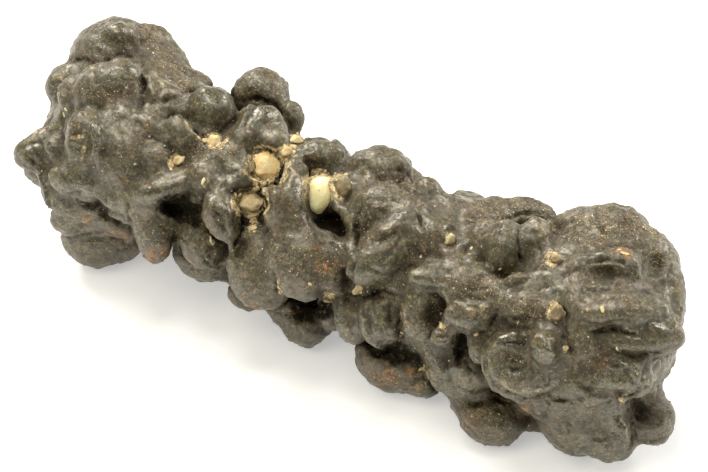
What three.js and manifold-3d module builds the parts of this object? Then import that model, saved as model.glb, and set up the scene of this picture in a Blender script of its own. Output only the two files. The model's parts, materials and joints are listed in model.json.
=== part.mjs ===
// Goethite pseudomorph: a club-shaped stone of fused, rounded lumps, lying on its side.
// It formed as marcasite and turned to goethite, an iron oxide, so the lumps are one solid piece.
// Pale grains of chalk and quartz from the bed it grew in are wedged in its hollows, each its own piece.
//
// Millimetres, +Z up. The stone's long axis runs along X and its origin is the middle of its footprint.
// The best face is laid out on a flat sheet, as a collector would draw it: "across" runs right and "down"
// runs down from the sheet's upper left corner, and depth is counted from the stone's core.

import * as THREE from "three";
import { ImprovedNoise } from "three/addons/math/ImprovedNoise.js";
import { mergeVertices } from "three/addons/utils/BufferGeometryUtils.js";
import Module from "manifold-3d";

const wasm = await Module();
wasm.setup();

// ---- driving dimensions ----
const SHEET_WIDTH = 70.8; // the drawing sheet of the best face
const SHEET_HEIGHT = 47.2;
const AXIS_START = { across: 11.5, down: 14.3 }; // where the core's long axis enters the left end
const AXIS_SLOPE = 22; // degrees that the axis falls towards the right of the sheet
const FACE_ELEVATION = 40; // degrees that the best face looks up when the stone lies down
const CORE_LENGTH = 56; // between the centres of the stone's round ends
const CORE_RADIUS = 7.4; // the solid core under the lumps
const LUMP_SEAT = 7.6; // how far from the axis a lump's centre sits when its lift is 0
const REST_HEIGHT = 12.0; // the sheet's middle above the surface that the stone lies on
const FOOTPRINT_MIDDLE = { x: 1.4, y: 0.02 }; // the footprint's middle, seen from the sheet's middle
const FOOT_BURY = 0.4; // how much of each foot is worn flat
const CREASE = 0.24; // how softly the lumps run into each other
const OUTSIDE = 30; // from the axis, clear of the stone
const TOLERANCE = 0.003; // how exactly the skin follows the lumps
const FACETS_ALONG = 55; // facets of the surface along the stone
const FACETS_ROUND = 16; // and across each quarter of its girth
const END_REACH = 9; // how far past the core's ends the side facets run
const RELAX = 0.3; // how far the skin is evened out where a lump overhangs
const WARP = 0.5; // how far the slow unevenness moves the surface
const WARP_WAVELENGTH = 4.5;
const GRAIN_GAP = 0.3; // clearance between a trapped grain and its pocket
const GRAIN_WARP = 0.3; // how uneven a grain is, as a share of its half size

// ---- the two frames ----
const rad = THREE.MathUtils.degToRad;
const axisYaw = Math.atan(Math.tan(rad(AXIS_SLOPE)) / Math.sin(rad(FACE_ELEVATION)));

// From the best face's frame (right, up, out) to the resting frame.
const specimen = new THREE.Group();
specimen.rotation.set(Math.PI / 2 - rad(FACE_ELEVATION), 0, axisYaw, "ZYX");
specimen.updateMatrix();
const toRest = new THREE.Matrix4().extractRotation(specimen.matrix);
const toFace = toRest.clone().transpose();

const along = new THREE.Vector3(1, 0, 0).applyMatrix4(toFace); // the long axis in the face's frame
const over = new THREE.Vector3(-along.y, along.x, 0).normalize(); // square to it, up the sheet
const towards = new THREE.Vector3().crossVectors(along, over); // square to both, towards the eye
const flatLength = Math.hypot(along.x, along.y);

// A point of the sheet at a given depth, in the face's frame. The sheet's middle is that frame's origin.
function onSheet(across, down, depth) {
  return new THREE.Vector3(across - SHEET_WIDTH / 2, SHEET_HEIGHT / 2 - down, depth);
}

const axisStart = onSheet(AXIS_START.across, AXIS_START.down, 0);
const axisMiddle = axisStart.clone().addScaledVector(along, CORE_LENGTH / 2);
axisStart.z -= axisMiddle.z;
axisMiddle.z = 0;

// Depth of a shell of the given radius around the axis, straight under a point of the sheet.
function shellDepth(across, down, radius) {
  const offset = onSheet(across, down, 0).sub(axisStart);
  const station = (offset.x * along.x + offset.y * along.y) / flatLength ** 2;
  const side = offset.x * over.x + offset.y * over.y;
  const held = THREE.MathUtils.clamp(station, 0, CORE_LENGTH);
  const past = (station - held) * flatLength; // beyond the core's end, on the sheet
  const rise = Math.sqrt(Math.max(radius ** 2 - side ** 2 - past ** 2, 0)) / flatLength;
  return axisStart.z + held * along.z + rise;
}

// A point beside the axis: station along it from its middle, angle round it from the face, radius from it.
function beside(station, angle, radius) {
  return axisMiddle
    .clone()
    .addScaledVector(along, station)
    .addScaledVector(towards, Math.cos(rad(angle)) * radius)
    .addScaledVector(over, Math.sin(rad(angle)) * radius);
}

// ---- the best face's lumps ----
// [across, down, half width, half height, turn, lift, half depth]; half depth is the mean where left out.
const LEFT_END_LUMPS = [
  [11.1, 6.1, 4.7, 4.7, 0, -1.5, 4.4], // crown dome
  [14.3, 4.6, 2.4, 2.4, 0, -2.2], // knob beside the crown
  [16.4, 7.4, 5.0, 2.5, -48, -1.8, 3.0], // long shoulder ridge down to the right
  [19.2, 9.6, 2.6, 1.8, -35, -1.5],
  [8.3, 9.0, 2.7, 2.7, 0, 1.0, 2.4], // brow under the crown, two lobes
  [11.4, 8.5, 3.0, 2.8, 0, 1.5, 2.6],
  [6.7, 8.7, 2.5, 2.6, 0, -1.8], // cheek behind the brow
  [16.0, 10.5, 3.4, 2.6, -30, 0.3, 2.6],
  [8.5, 13.7, 2.4, 3.0, 0, 2.0, 1.9], // pitted knob
  [4.7, 14.9, 3.7, 2.2, 12, -0.2, 2.4], // pointed nose at the far left
  [4.5, 16.4, 2.8, 2.6, -30, -2.0, 2.8], // round lump behind the nose
  [6.3, 18.2, 2.2, 3.2, 0, 0, 2.4],
  [9.2, 18.0, 4.6, 2.6, -8, 1.0, 2.8], // smooth flank under the pitted knob
  [12.8, 15.6, 3.8, 3.8, 0, 0.5, 3.0],
  [12.4, 12.6, 3.2, 2.4, 0, 0.8, 2.4],
  [18.2, 13.4, 1.5, 2.2, 35, 1.4, 1.5],
  [16.0, 16.0, 1.9, 1.3, -25, 1.4, 1.4],
  [8.0, 21.6, 3.2, 2.4, 0, 0.4, 2.8], // lower left lump
  [9.5, 23.3, 3.9, 3.5, 0, -2.6, 3.4], // lowest left lump
  [12.2, 22.8, 1.8, 1.6, 0, -1.0, 1.8],
  [15.2, 21.4, 2.7, 4.9, 4, 0.5, 2.9], // hanging drop
  [12.8, 20.0, 2.6, 2.6, 0, 0.6, 2.4],
  [16.8, 18.7, 3.7, 1.6, 18, 1.5, 2.0], // tongue over the dark hollow
  [20.4, 24.0, 2.6, 3.0, 30, -0.2, 2.4], // lip of the lower pocket
  [20.3, 25.3, 3.3, 2.7, -20, -2.8, 3.0], // lump behind the lip
];

const NECK_LUMPS = [
  [21.1, 11.0, 2.7, 2.6, 0, 1.3, 2.5], // round ball
  [26.1, 9.6, 3.0, 3.0, 0, -1.0, 2.9], // top ball
  [26.0, 12.6, 2.6, 2.5, 0, 1.4, 2.3], // ball in front of it
  [24.0, 14.4, 1.2, 2.8, -18, 0.8, 1.4],
  [29.0, 11.7, 1.6, 1.9, 0, -1.2, 1.7],
  [27.6, 14.2, 1.9, 1.4, 0, 0.9, 1.5],
  [31.0, 15.6, 3.2, 1.7, 0, -0.2, 2.0], // finger that points right
  [33.2, 15.7, 1.4, 1.65, 0, 0.1, 1.6], // its round tip
  [22.6, 16.4, 2.6, 2.2, 0, 0, 2.0],
  [24.4, 17.7, 1.9, 1.7, 0, 0.4, 1.5],
  [20.4, 17.6, 2.0, 1.8, 0, 0.9, 1.5],
  [22.2, 21.6, 2.0, 2.8, 25, 1.9, 1.8], // grooved knob
  [28.5, 20.6, 2.1, 4.0, 10, 1.7, 2.2], // upright ridge between the pale grains
  [30.0, 22.5, 1.6, 2.6, 20, 1.2, 1.8],
  [26.4, 26.6, 3.8, 4.5, 0, 0.4, 3.6], // big dome, two lobes
  [30.6, 26.0, 4.0, 4.2, 0, 0.8, 3.4],
  [33.4, 27.0, 2.0, 2.6, 0, 0.6, 2.0],
  [25.0, 29.2, 2.4, 2.2, 0, -0.4, 2.2],
  [28.6, 30.4, 2.6, 1.6, 0, 0, 1.8],
  [30.8, 32.2, 2.6, 2.8, 0, -3.0, 2.8], // keel lumps below
];

const MIDDLE_LUMPS = [
  [37.9, 17.2, 3.3, 2.6, 0, -0.4, 2.8], // rounded cap
  [38.2, 20.6, 3.2, 2.3, 0, 1.0, 2.3],
  [42.6, 19.8, 2.0, 2.3, 0, -0.4, 2.1],
  [45.4, 21.2, 2.4, 1.6, -32, -0.8, 1.8],
  [40.8, 21.6, 2.6, 2.0, 0, 1.0, 1.8],
  [38.8, 23.2, 3.0, 1.4, 35, 1.6, 1.7],
  [37.8, 25.9, 3.7, 2.3, 30, 1.3, 2.2],
  [43.0, 27.7, 2.6, 1.5, 0, 1.4, 1.7],
  [43.4, 23.8, 2.6, 2.2, 0, 0.4, 1.8],
  [45.8, 26.0, 2.0, 1.6, 0, 0.5, 1.6],
  [35.4, 31.6, 2.1, 2.9, 0, 1.1, 2.2], // hanging ball, two lobes
  [38.1, 31.8, 2.3, 3.1, 0, 1.3, 2.4],
  [42.0, 31.4, 2.2, 2.6, 0, 1.2, 2.1],
  [39.8, 36.0, 4.5, 3.4, -16, -2.4, 3.4], // underside lump
  [42.4, 38.0, 2.0, 1.9, 0, -2.6, 1.9],
  [44.4, 33.8, 1.5, 1.5, 0, 1.9, 1.3], // crescent knob
  [44.6, 36.4, 2.2, 3.0, 0, 0.4, 2.2],
  [46.6, 28.6, 3.2, 2.4, 0, 1.2, 2.2],
  [47.2, 31.4, 3.3, 2.0, 5, 1.7, 2.1],
];

const RIGHT_LUMPS = [
  [49.0, 21.6, 3.2, 2.0, 0, -2.4, 2.6], // back ridge
  [53.0, 21.9, 3.0, 2.1, -22, -2.2, 2.6],
  [48.0, 24.4, 1.8, 2.6, -35, -0.2, 2.0],
  [50.3, 24.8, 2.3, 3.0, -8, 1.0, 2.2], // upright pair
  [53.6, 24.4, 2.0, 2.9, 10, 0.7, 2.2],
  [54.8, 27.6, 2.0, 1.6, 0, 1.0, 1.6],
  [52.6, 30.4, 3.4, 2.0, 0, 0.9, 2.0],
  [49.6, 29.6, 2.4, 2.0, 0, 0.8, 1.8],
  [52.2, 36.2, 4.6, 3.8, -8, 1.3, 3.0], // great round boss
  [54.3, 34.6, 1.9, 2.1, 0, 2.7, 1.6], // its bright shoulder
  [47.2, 36.4, 2.4, 2.6, 0, 0.9, 2.2],
  [47.0, 38.4, 3.2, 1.9, -8, 0.4, 2.3],
  [49.2, 41.7, 3.4, 2.9, -10, -1.4, 3.0], // belly lump
  [47.1, 40.2, 2.3, 2.1, -35, -1.4, 2.2],
  [53.4, 42.2, 1.5, 1.1, 0, -3.6, 1.4],
];

const RIGHT_END_LUMPS = [
  [60.8, 25.1, 5.5, 4.7, -24, -1.4, 4.4], // back dome
  [57.0, 23.4, 2.4, 2.2, 0, -1.8],
  [65.0, 26.8, 3.4, 4.2, 10, -1.2, 3.4],
  [60.9, 26.8, 3.5, 1.9, -5, 2.0, 2.0], // brow
  [57.8, 27.6, 2.0, 2.4, 0, 1.2, 1.8],
  [66.2, 29.6, 2.2, 4.6, 3, 0.2, 2.6],
  [61.6, 31.0, 4.8, 2.0, 2, 1.6, 2.4], // band
  [63.8, 33.6, 4.4, 2.3, 2, 1.8, 2.6], // lower lip
  [57.8, 30.6, 2.4, 2.8, 0, 1.0, 2.0],
  [57.8, 34.0, 2.2, 2.8, 0, 0.6, 2.0],
  [61.6, 37.2, 3.5, 2.6, -12, 1.3, 2.6], // wedge under the lip
  [64.0, 36.8, 1.7, 1.8, 0, 0.4, 1.8],
  [58.4, 37.6, 2.6, 2.8, 0, 0.6, 2.3],
  [57.8, 42.0, 3.7, 3.3, 0, -0.4, 3.2], // chin, left half
  [60.8, 43.0, 3.2, 3.1, 0, -0.2, 3.0], // chin, right half
  [64.9, 41.4, 2.4, 3.2, 12, -1.0, 2.6], // lobe at the lower right
  [62.4, 41.6, 1.4, 2.4, 25, 0.6, 1.5],
  [55.2, 42.0, 1.8, 1.8, 0, -1.0],
];

// Hollows between the lumps: [across, down, half width, half height, turn, lift, half depth].
const HOLLOWS = [
  [18.4, 21.5, 2.2, 1.4, -10, 1.6, 2.4], // under the tongue
  [24.5, 24.8, 1.3, 1.0, 30, 2.2, 1.8],
  [33.2, 22.4, 1.6, 1.6, 0, 2.0, 3.0], // deep hole beside the upright ridge
  [45.8, 34.6, 0.9, 1.7, -10, 2.2, 2.0],
  [43.3, 31.8, 0.9, 1.7, 0, 3.4, 1.4],
  [60.5, 27.4, 2.0, 1.0, -4, 4.2, 1.4], // under the brow
  [66.0, 26.2, 1.5, 1.3, 20, 2.6, 1.4],
  [63.2, 40.8, 0.9, 1.4, 10, 2.0, 1.6],
  [27.5, 28.2, 0.9, 1.4, 10, 4.2, 1.4],
  [32.4, 18.6, 2.2, 1.6, 0, 1.2, 2.2], // where the cream grain sits
  [26.5, 16.6, 1.8, 1.7, 0, 1.6, 1.8], // where the ochre grain sits
  [25.0, 20.4, 1.6, 1.5, 0, 1.8, 1.8], // where the tan grain sits
];

// Lumps round the far side and under the stone:
// [station, angle, half length, half height, half width, lift].
const FAR_LUMPS = [
  [-30.5, 182, 4.8, 4.6, 4.6, -2.0],
  [-25.0, 134, 5.4, 4.4, 4.6, -0.6],
  [-22.0, 170, 5.0, 4.2, 4.8, 0.6],
  [-15.5, 128, 4.0, 3.6, 3.8, -0.4],
  [-13.0, 176, 5.0, 4.0, 4.6, -0.4],
  [-8.0, 128, 3.6, 3.2, 3.4, -1.0],
  [-5.0, 166, 4.6, 3.8, 4.4, -0.4],
  [-4.0, 214, 4.4, 3.8, 4.2, -0.4],
  [1.0, 130, 4.0, 3.4, 3.6, -0.6],
  [4.5, 178, 5.0, 4.0, 4.6, -0.2],
  [6.0, 224, 4.4, 3.6, 4.2, 0.0],
  [9.0, 140, 4.6, 3.6, 4.2, -0.2],
  [14.5, 184, 5.0, 4.2, 4.6, 0.2],
  [17.0, 140, 4.8, 4.0, 4.4, 0.2],
  [23.5, 174, 5.2, 4.4, 4.8, 0.8],
  [26.0, 138, 5.0, 4.6, 4.6, 0.4],
  [28.5, 190, 4.2, 4.2, 4.4, -0.6],
  [-9.5, 244, 3.6, 3.4, 3.5, -0.6],
  [12.5, 236, 4.2, 3.8, 4.0, 0.0],
];

// The feet, lumps that reach the surface the stone lies on: [station, angle, radius].
const STRAIGHT_DOWN = 225; // the angle that points down when the stone lies on them
const FEET = [
  [-21.5, 200, 4.4],
  [-27.0, 242, 4.2],
  [22.0, 200, 4.6],
  [28.5, 244, 4.2],
];

// Thick masses along the core: [station, half length, radius].
const CORE_MASSES = [
  [-27.0, 8.5, 9.6],
  [-12.0, 12.0, CORE_RADIUS],
  [6.0, 14.0, CORE_RADIUS],
  [12.0, 9.0, 8.4],
  [27.0, 9.5, 9.8],
];

// Grains of the bed rock, each trapped in a pocket of its own:
// [name, across, down, half width, half height, turn, half depth, lift, material].
const chalk = new THREE.MeshStandardMaterial({ color: 0xdcc898, roughness: 0.75, metalness: 0 });
const ochre = new THREE.MeshStandardMaterial({ color: 0xd3a86c, roughness: 0.85, metalness: 0 });
const tan = new THREE.MeshStandardMaterial({ color: 0x8f7f5c, roughness: 0.8, metalness: 0 });
const smoky = new THREE.MeshStandardMaterial({ color: 0x5d5443, roughness: 0.45, metalness: 0 });
const GRAINS = [
  ["cream_pebble", 31.9, 19.7, 1.25, 2.05, -6, 1.5, -0.2, chalk],
  ["ochre_chalk", 26.7, 16.6, 1.6, 1.5, 0, 1.3, -0.3, ochre],
  ["tan_chalk", 25.0, 20.2, 1.35, 1.0, 0, 1.1, -0.2, tan],
  ["smoky_grain", 34.4, 18.8, 0.8, 1.3, 0, 1.0, -0.2, smoky],
  ["neck_grain", 21.4, 14.1, 0.8, 0.65, 0, 0.8, -0.2, tan],
  ["flank_grain", 17.8, 16.1, 0.75, 0.5, 20, 0.7, -0.2, tan],
  ["crest_grain", 29.6, 14.0, 0.8, 0.6, 0, 0.8, -0.2, tan],
  ["finger_grain", 28.7, 15.2, 0.8, 0.6, 0, 0.8, -0.2, tan],
  ["slope_grain", 44.9, 24.0, 0.55, 0.8, -25, 0.7, -0.2, chalk],
  ["keel_grain", 32.7, 29.8, 0.55, 0.5, 0, 0.6, -0.1, tan],
  ["crease_grain", 55.3, 25.9, 0.75, 0.6, 0, 0.8, -0.1, tan],
  ["lip_grain", 55.4, 31.2, 0.85, 1.0, 10, 0.9, -0.2, tan],
];

// ---- ellipsoids ----
// Half sizes run along the sheet, up it and out of it; turn is anticlockwise on the sheet.
function ellipsoid(centre, half, turn) {
  const turned = new THREE.Quaternion().setFromAxisAngle(new THREE.Vector3(0, 0, 1), rad(turn));
  return { centre, half: new THREE.Vector3(...half), turned, unturned: turned.clone().invert() };
}

function faceLump([across, down, halfWidth, halfHeight, turn, lift, halfDepth]) {
  const centre = onSheet(across, down, shellDepth(across, down, LUMP_SEAT) + lift);
  return ellipsoid(centre, [halfWidth, halfHeight, halfDepth ?? (halfWidth + halfHeight) / 2], turn);
}

function farLump([station, angle, halfLength, halfHeight, halfWidth, lift]) {
  const centre = beside(station, angle, LUMP_SEAT + lift);
  return ellipsoid(centre, [halfLength, halfWidth, halfHeight], -AXIS_SLOPE);
}

function foot([station, angle, radius]) {
  const reach = (REST_HEIGHT + FOOT_BURY - radius) / Math.cos(rad(angle - STRAIGHT_DOWN));
  return ellipsoid(beside(station, angle, reach), [radius, radius, radius], 0);
}

function coreMass([station, halfLength, radius]) {
  return ellipsoid(beside(station, 0, 0), [halfLength, radius, radius], -AXIS_SLOPE);
}

const faceLumps = [LEFT_END_LUMPS, NECK_LUMPS, MIDDLE_LUMPS, RIGHT_LUMPS, RIGHT_END_LUMPS].flat();
const lumps = [
  ...CORE_MASSES.map(coreMass),
  ...faceLumps.map(faceLump),
  ...FAR_LUMPS.map(farLump),
  ...FEET.map(foot),
];
const hollows = HOLLOWS.map(faceLump);

// Distance from a point to an ellipsoid's surface, below zero inside it.
const scaled = new THREE.Vector3();
function distanceTo({ centre, half, unturned }, point) {
  const reach = scaled.copy(point).sub(centre).applyQuaternion(unturned).divide(half).length();
  const steepness = scaled.divide(half).length();
  return (reach * (reach - 1)) / Math.max(steepness, 1e-6);
}

// Distance to the stone: its lumps run into each other in soft creases, and the hollows are taken out.
function distanceToStone(point) {
  let filled = 0;
  for (const lump of lumps) filled += Math.exp(-distanceTo(lump, point) / CREASE);
  let opened = 0;
  for (const hollow of hollows) opened += Math.exp(-distanceTo(hollow, point) / CREASE);
  return CREASE * Math.log(1 / filled + opened);
}

// The stone's outermost point on a line, met from outside in careful steps.
function outermost(start, direction) {
  const point = start.clone().addScaledVector(direction, OUTSIDE);
  for (let step = 0; step < 60; step++) {
    const gap = distanceToStone(point);
    point.addScaledVector(direction, -0.8 * gap);
    if (Math.abs(gap) < TOLERANCE) break;
  }
  return point;
}

// ---- solids ----
const noise = new ImprovedNoise();

// Moves every point by a slow wave, so that no lump stays a perfect ellipsoid.
function warp(geometry, amount, wavelength) {
  const position = geometry.attributes.position;
  for (let i = 0; i < position.count; i++) {
    const p = new THREE.Vector3().fromBufferAttribute(position, i);
    const q = p.clone().divideScalar(wavelength);
    p.x += amount * noise.noise(q.x + 11.3, q.y, q.z);
    p.y += amount * noise.noise(q.x, q.y + 23.7, q.z);
    p.z += amount * noise.noise(q.x, q.y, q.z + 37.1);
    position.setXYZ(i, p.x, p.y, p.z);
  }
  return geometry;
}

// Moves every point part of the way to the middle of its neighbours, one at the end of each facet's side.
function relax(geometry, share) {
  const position = geometry.attributes.position;
  const corners = geometry.index.array;
  const sums = Array.from({ length: position.count }, () => new THREE.Vector4(0, 0, 0, 0));
  const neighbour = new THREE.Vector4();
  for (let i = 0; i < corners.length; i++) {
    const next = i % 3 === 2 ? i - 2 : i + 1;
    neighbour.fromBufferAttribute(position, corners[next]).setW(1);
    sums[corners[i]].add(neighbour);
  }
  sums.forEach((sum, i) => {
    const middle = new THREE.Vector3(sum.x, sum.y, sum.z).divideScalar(sum.w);
    position.setXYZ(i, ...new THREE.Vector3().fromBufferAttribute(position, i).lerp(middle, share));
  });
  return geometry;
}

// Only positions, with the shared points merged.
function bare(geometry) {
  geometry.deleteAttribute("normal");
  geometry.deleteAttribute("uv");
  return mergeVertices(geometry, 1e-5);
}

function toSolid(geometry) {
  const vertProperties = new Float32Array(geometry.attributes.position.array);
  const triVerts = new Uint32Array(geometry.index.array);
  return new wasm.Manifold(new wasm.Mesh({ numProp: 3, vertProperties, triVerts }));
}

function toGeometry(solid) {
  const mesh = solid.getMesh();
  return new THREE.BufferGeometry()
    .setAttribute("position", new THREE.BufferAttribute(mesh.vertProperties, 3))
    .setIndex(new THREE.BufferAttribute(mesh.triVerts, 1));
}

// The stone's skin: a long box of even facets, with its points sent out from the axis to the fused lumps.
function stoneGeometry() {
  const boxLength = CORE_LENGTH + 2 * END_REACH;
  const box = bare(new THREE.BoxGeometry(boxLength, 2, 2, FACETS_ALONG, FACETS_ROUND, FACETS_ROUND));
  const position = box.attributes.position;
  for (let i = 0; i < position.count; i++) {
    const onBox = new THREE.Vector3().fromBufferAttribute(position, i);
    const station = THREE.MathUtils.clamp(onBox.x, -CORE_LENGTH / 2, CORE_LENGTH / 2);
    const lean = (onBox.x - station) / END_REACH; // -1 to 1, past the core's ends
    const direction = new THREE.Vector3()
      .addScaledVector(along, Math.tan((lean * Math.PI) / 4))
      .addScaledVector(over, Math.tan((onBox.y * Math.PI) / 4))
      .addScaledVector(towards, Math.tan((onBox.z * Math.PI) / 4))
      .normalize();
    position.setXYZ(i, ...outermost(beside(station, 0, 0), direction));
  }
  return relax(box, RELAX);
}

// What lies below the surface that the stone rests on, in the face's frame.
function underTheFloor() {
  const slab = bare(new THREE.BoxGeometry(2 * SHEET_WIDTH, SHEET_WIDTH, REST_HEIGHT));
  return slab.translate(0, 0, -1.5 * REST_HEIGHT).applyMatrix4(toFace);
}

// A grain at the stone's surface. `gap` swells it evenly into the pocket that holds it.
function grainGeometry([, across, down, halfWidth, halfHeight, turn, halfDepth, lift], gap) {
  const place = outermost(onSheet(across, down, 0), new THREE.Vector3(0, 0, 1));
  place.z += lift;
  const { centre, half, turned } = ellipsoid(place, [halfWidth, halfHeight, halfDepth], turn);
  const detail = halfWidth * halfHeight > 1 ? 1 : 0; // the smallest grains are plain icosahedra
  const rough = warp(bare(new THREE.IcosahedronGeometry(1, detail)), GRAIN_WARP, 0.8);
  return rough.applyMatrix4(new THREE.Matrix4().compose(centre, turned, half.addScalar(gap)));
}

// ---- the object ----
const pockets = wasm.Manifold.union(GRAINS.map((grain) => toSolid(grainGeometry(grain, GRAIN_GAP))));
const skin = warp(stoneGeometry(), WARP, WARP_WAVELENGTH);
const body = toSolid(skin).subtract(pockets).subtract(toSolid(underTheFloor()));
specimen.position.set(-FOOTPRINT_MIDDLE.x, -FOOTPRINT_MIDDLE.y, REST_HEIGHT);

const goethite = new THREE.MeshStandardMaterial({ color: 0x3d3830, roughness: 0.42, metalness: 0 });
const bodyMesh = new THREE.Mesh(toGeometry(body), goethite);
bodyMesh.name = "goethite_body";
specimen.add(bodyMesh);

for (const grain of GRAINS) {
  const mesh = new THREE.Mesh(grainGeometry(grain, 0), grain.at(-1));
  mesh.name = grain[0];
  specimen.add(mesh);
}

export default specimen;
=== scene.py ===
# %% [markdown]
# # A goethite pseudomorph
#
# This stone grew as a club of fused, rounded lumps, and its iron sulphide later turned to goethite, a brown
# iron oxide with a waxy shine. Chalk and sand from the bed it grew in are still wedged in its hollows.
# The packed model gives its main shape and its place. These cells give it creases, grain, dust and light.
# Everything is in metres, with +Z up and the long axis of the stone along X.

# %% Load the packed model
import json
import math

import bmesh
import bpy
import numpy as np
from mathutils import Matrix, Vector, noise
from mathutils.bvhtree import BVHTree


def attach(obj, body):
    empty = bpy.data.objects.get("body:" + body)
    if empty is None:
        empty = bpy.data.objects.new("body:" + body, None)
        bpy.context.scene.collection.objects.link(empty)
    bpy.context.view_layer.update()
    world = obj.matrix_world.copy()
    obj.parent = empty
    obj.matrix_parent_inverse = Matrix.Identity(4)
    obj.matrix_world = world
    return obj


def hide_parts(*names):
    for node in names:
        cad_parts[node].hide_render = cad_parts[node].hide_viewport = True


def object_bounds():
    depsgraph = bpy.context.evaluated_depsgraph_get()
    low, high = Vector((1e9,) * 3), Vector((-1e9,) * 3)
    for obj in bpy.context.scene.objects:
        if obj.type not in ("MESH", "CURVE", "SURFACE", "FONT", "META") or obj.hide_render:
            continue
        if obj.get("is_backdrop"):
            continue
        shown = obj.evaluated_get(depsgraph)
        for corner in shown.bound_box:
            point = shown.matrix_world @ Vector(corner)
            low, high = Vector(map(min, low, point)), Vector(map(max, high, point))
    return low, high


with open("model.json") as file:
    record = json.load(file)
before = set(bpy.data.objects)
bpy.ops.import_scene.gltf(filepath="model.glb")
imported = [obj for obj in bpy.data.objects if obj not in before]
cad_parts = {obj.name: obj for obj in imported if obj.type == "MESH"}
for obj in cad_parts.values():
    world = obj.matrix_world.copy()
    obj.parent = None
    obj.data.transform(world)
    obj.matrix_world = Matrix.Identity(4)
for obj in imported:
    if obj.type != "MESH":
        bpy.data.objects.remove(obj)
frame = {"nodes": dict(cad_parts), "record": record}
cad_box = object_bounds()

mm = 0.001
NOISE_SEED = 1795485243  # left unset, Blender's vector noise starts from the clock and differs in each run
scene = bpy.context.scene
noise.seed_set(NOISE_SEED)
print("nodes:", sorted(frame["nodes"]))

# %% [markdown]
# ## The drawing sheet
#
# A collector draws a stone from its best side. Here that drawing is a flat sheet, square to the line of
# sight, and each lump and crease is laid out on it: "across" runs right and "down" runs down from its upper
# left corner, both in millimetres. One rotation turns the sheet's right, up and outward directions into the
# stone's frame. The same rotation later aims the camera, so the drawing and the view can't drift apart.
#
# The drawing is kept in tables of plain text, which take far less room than nested brackets. A row ends
# with its line or at a comma, and a colon joins the two numbers of a pair, such as across:down.

# %% The sheet and its frame
SHEET_WIDTH, SHEET_HEIGHT = 70.8, 47.2
FACE_ELEVATION = math.radians(40)  # how far the best face looks up
AXIS_SLOPE = math.radians(22)  # how far the long axis falls across the sheet
AXIS_START = (11.5, 14.3)  # where the axis enters the left end
CORE_LENGTH = 56.0
CORE_RADIUS = 7.4
LUMP_SEAT = 7.6  # how far from the axis a lump's centre sits
REST_HEIGHT = 12.0

axis_yaw = math.atan(math.tan(AXIS_SLOPE) / math.sin(FACE_ELEVATION))
to_rest = Matrix.Rotation(axis_yaw, 3, "Z") @ Matrix.Rotation(math.pi / 2 - FACE_ELEVATION, 3, "X")
sheet_middle = Vector((-1.4, -0.02, REST_HEIGHT)) * mm
outward = to_rest.col[2].copy()  # the line of sight, back to the eye


def at_rest(point):
    """A point given in millimetres right, up and outward of the sheet's middle, in the stone's frame."""
    return sheet_middle + to_rest @ Vector(point) * mm


def on_sheet(across, down, depth=0.0):
    return Vector((across - SHEET_WIDTH / 2, SHEET_HEIGHT / 2 - down, depth))


def read_table(text):
    """The rows of a table, as lists of numbers and words."""
    rows = [row.replace(":", " ").split() for row in text.replace("\n", ",").split(",")]
    return [[word if word[0].isalpha() else float(word) for word in row] for row in rows if row]


print("long axis turned", round(math.degrees(axis_yaw), 2), "degrees from the sheet")

# %% [markdown]
# ## Short calls for node trees
#
# The surround, the floor and every finish are node trees, and most of a tree is arithmetic and mixing. One
# small class wraps a tree and adds the nodes that they need, so that a recipe reads as a formula: a value in
# it can be a socket, a number or a colour.


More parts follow.
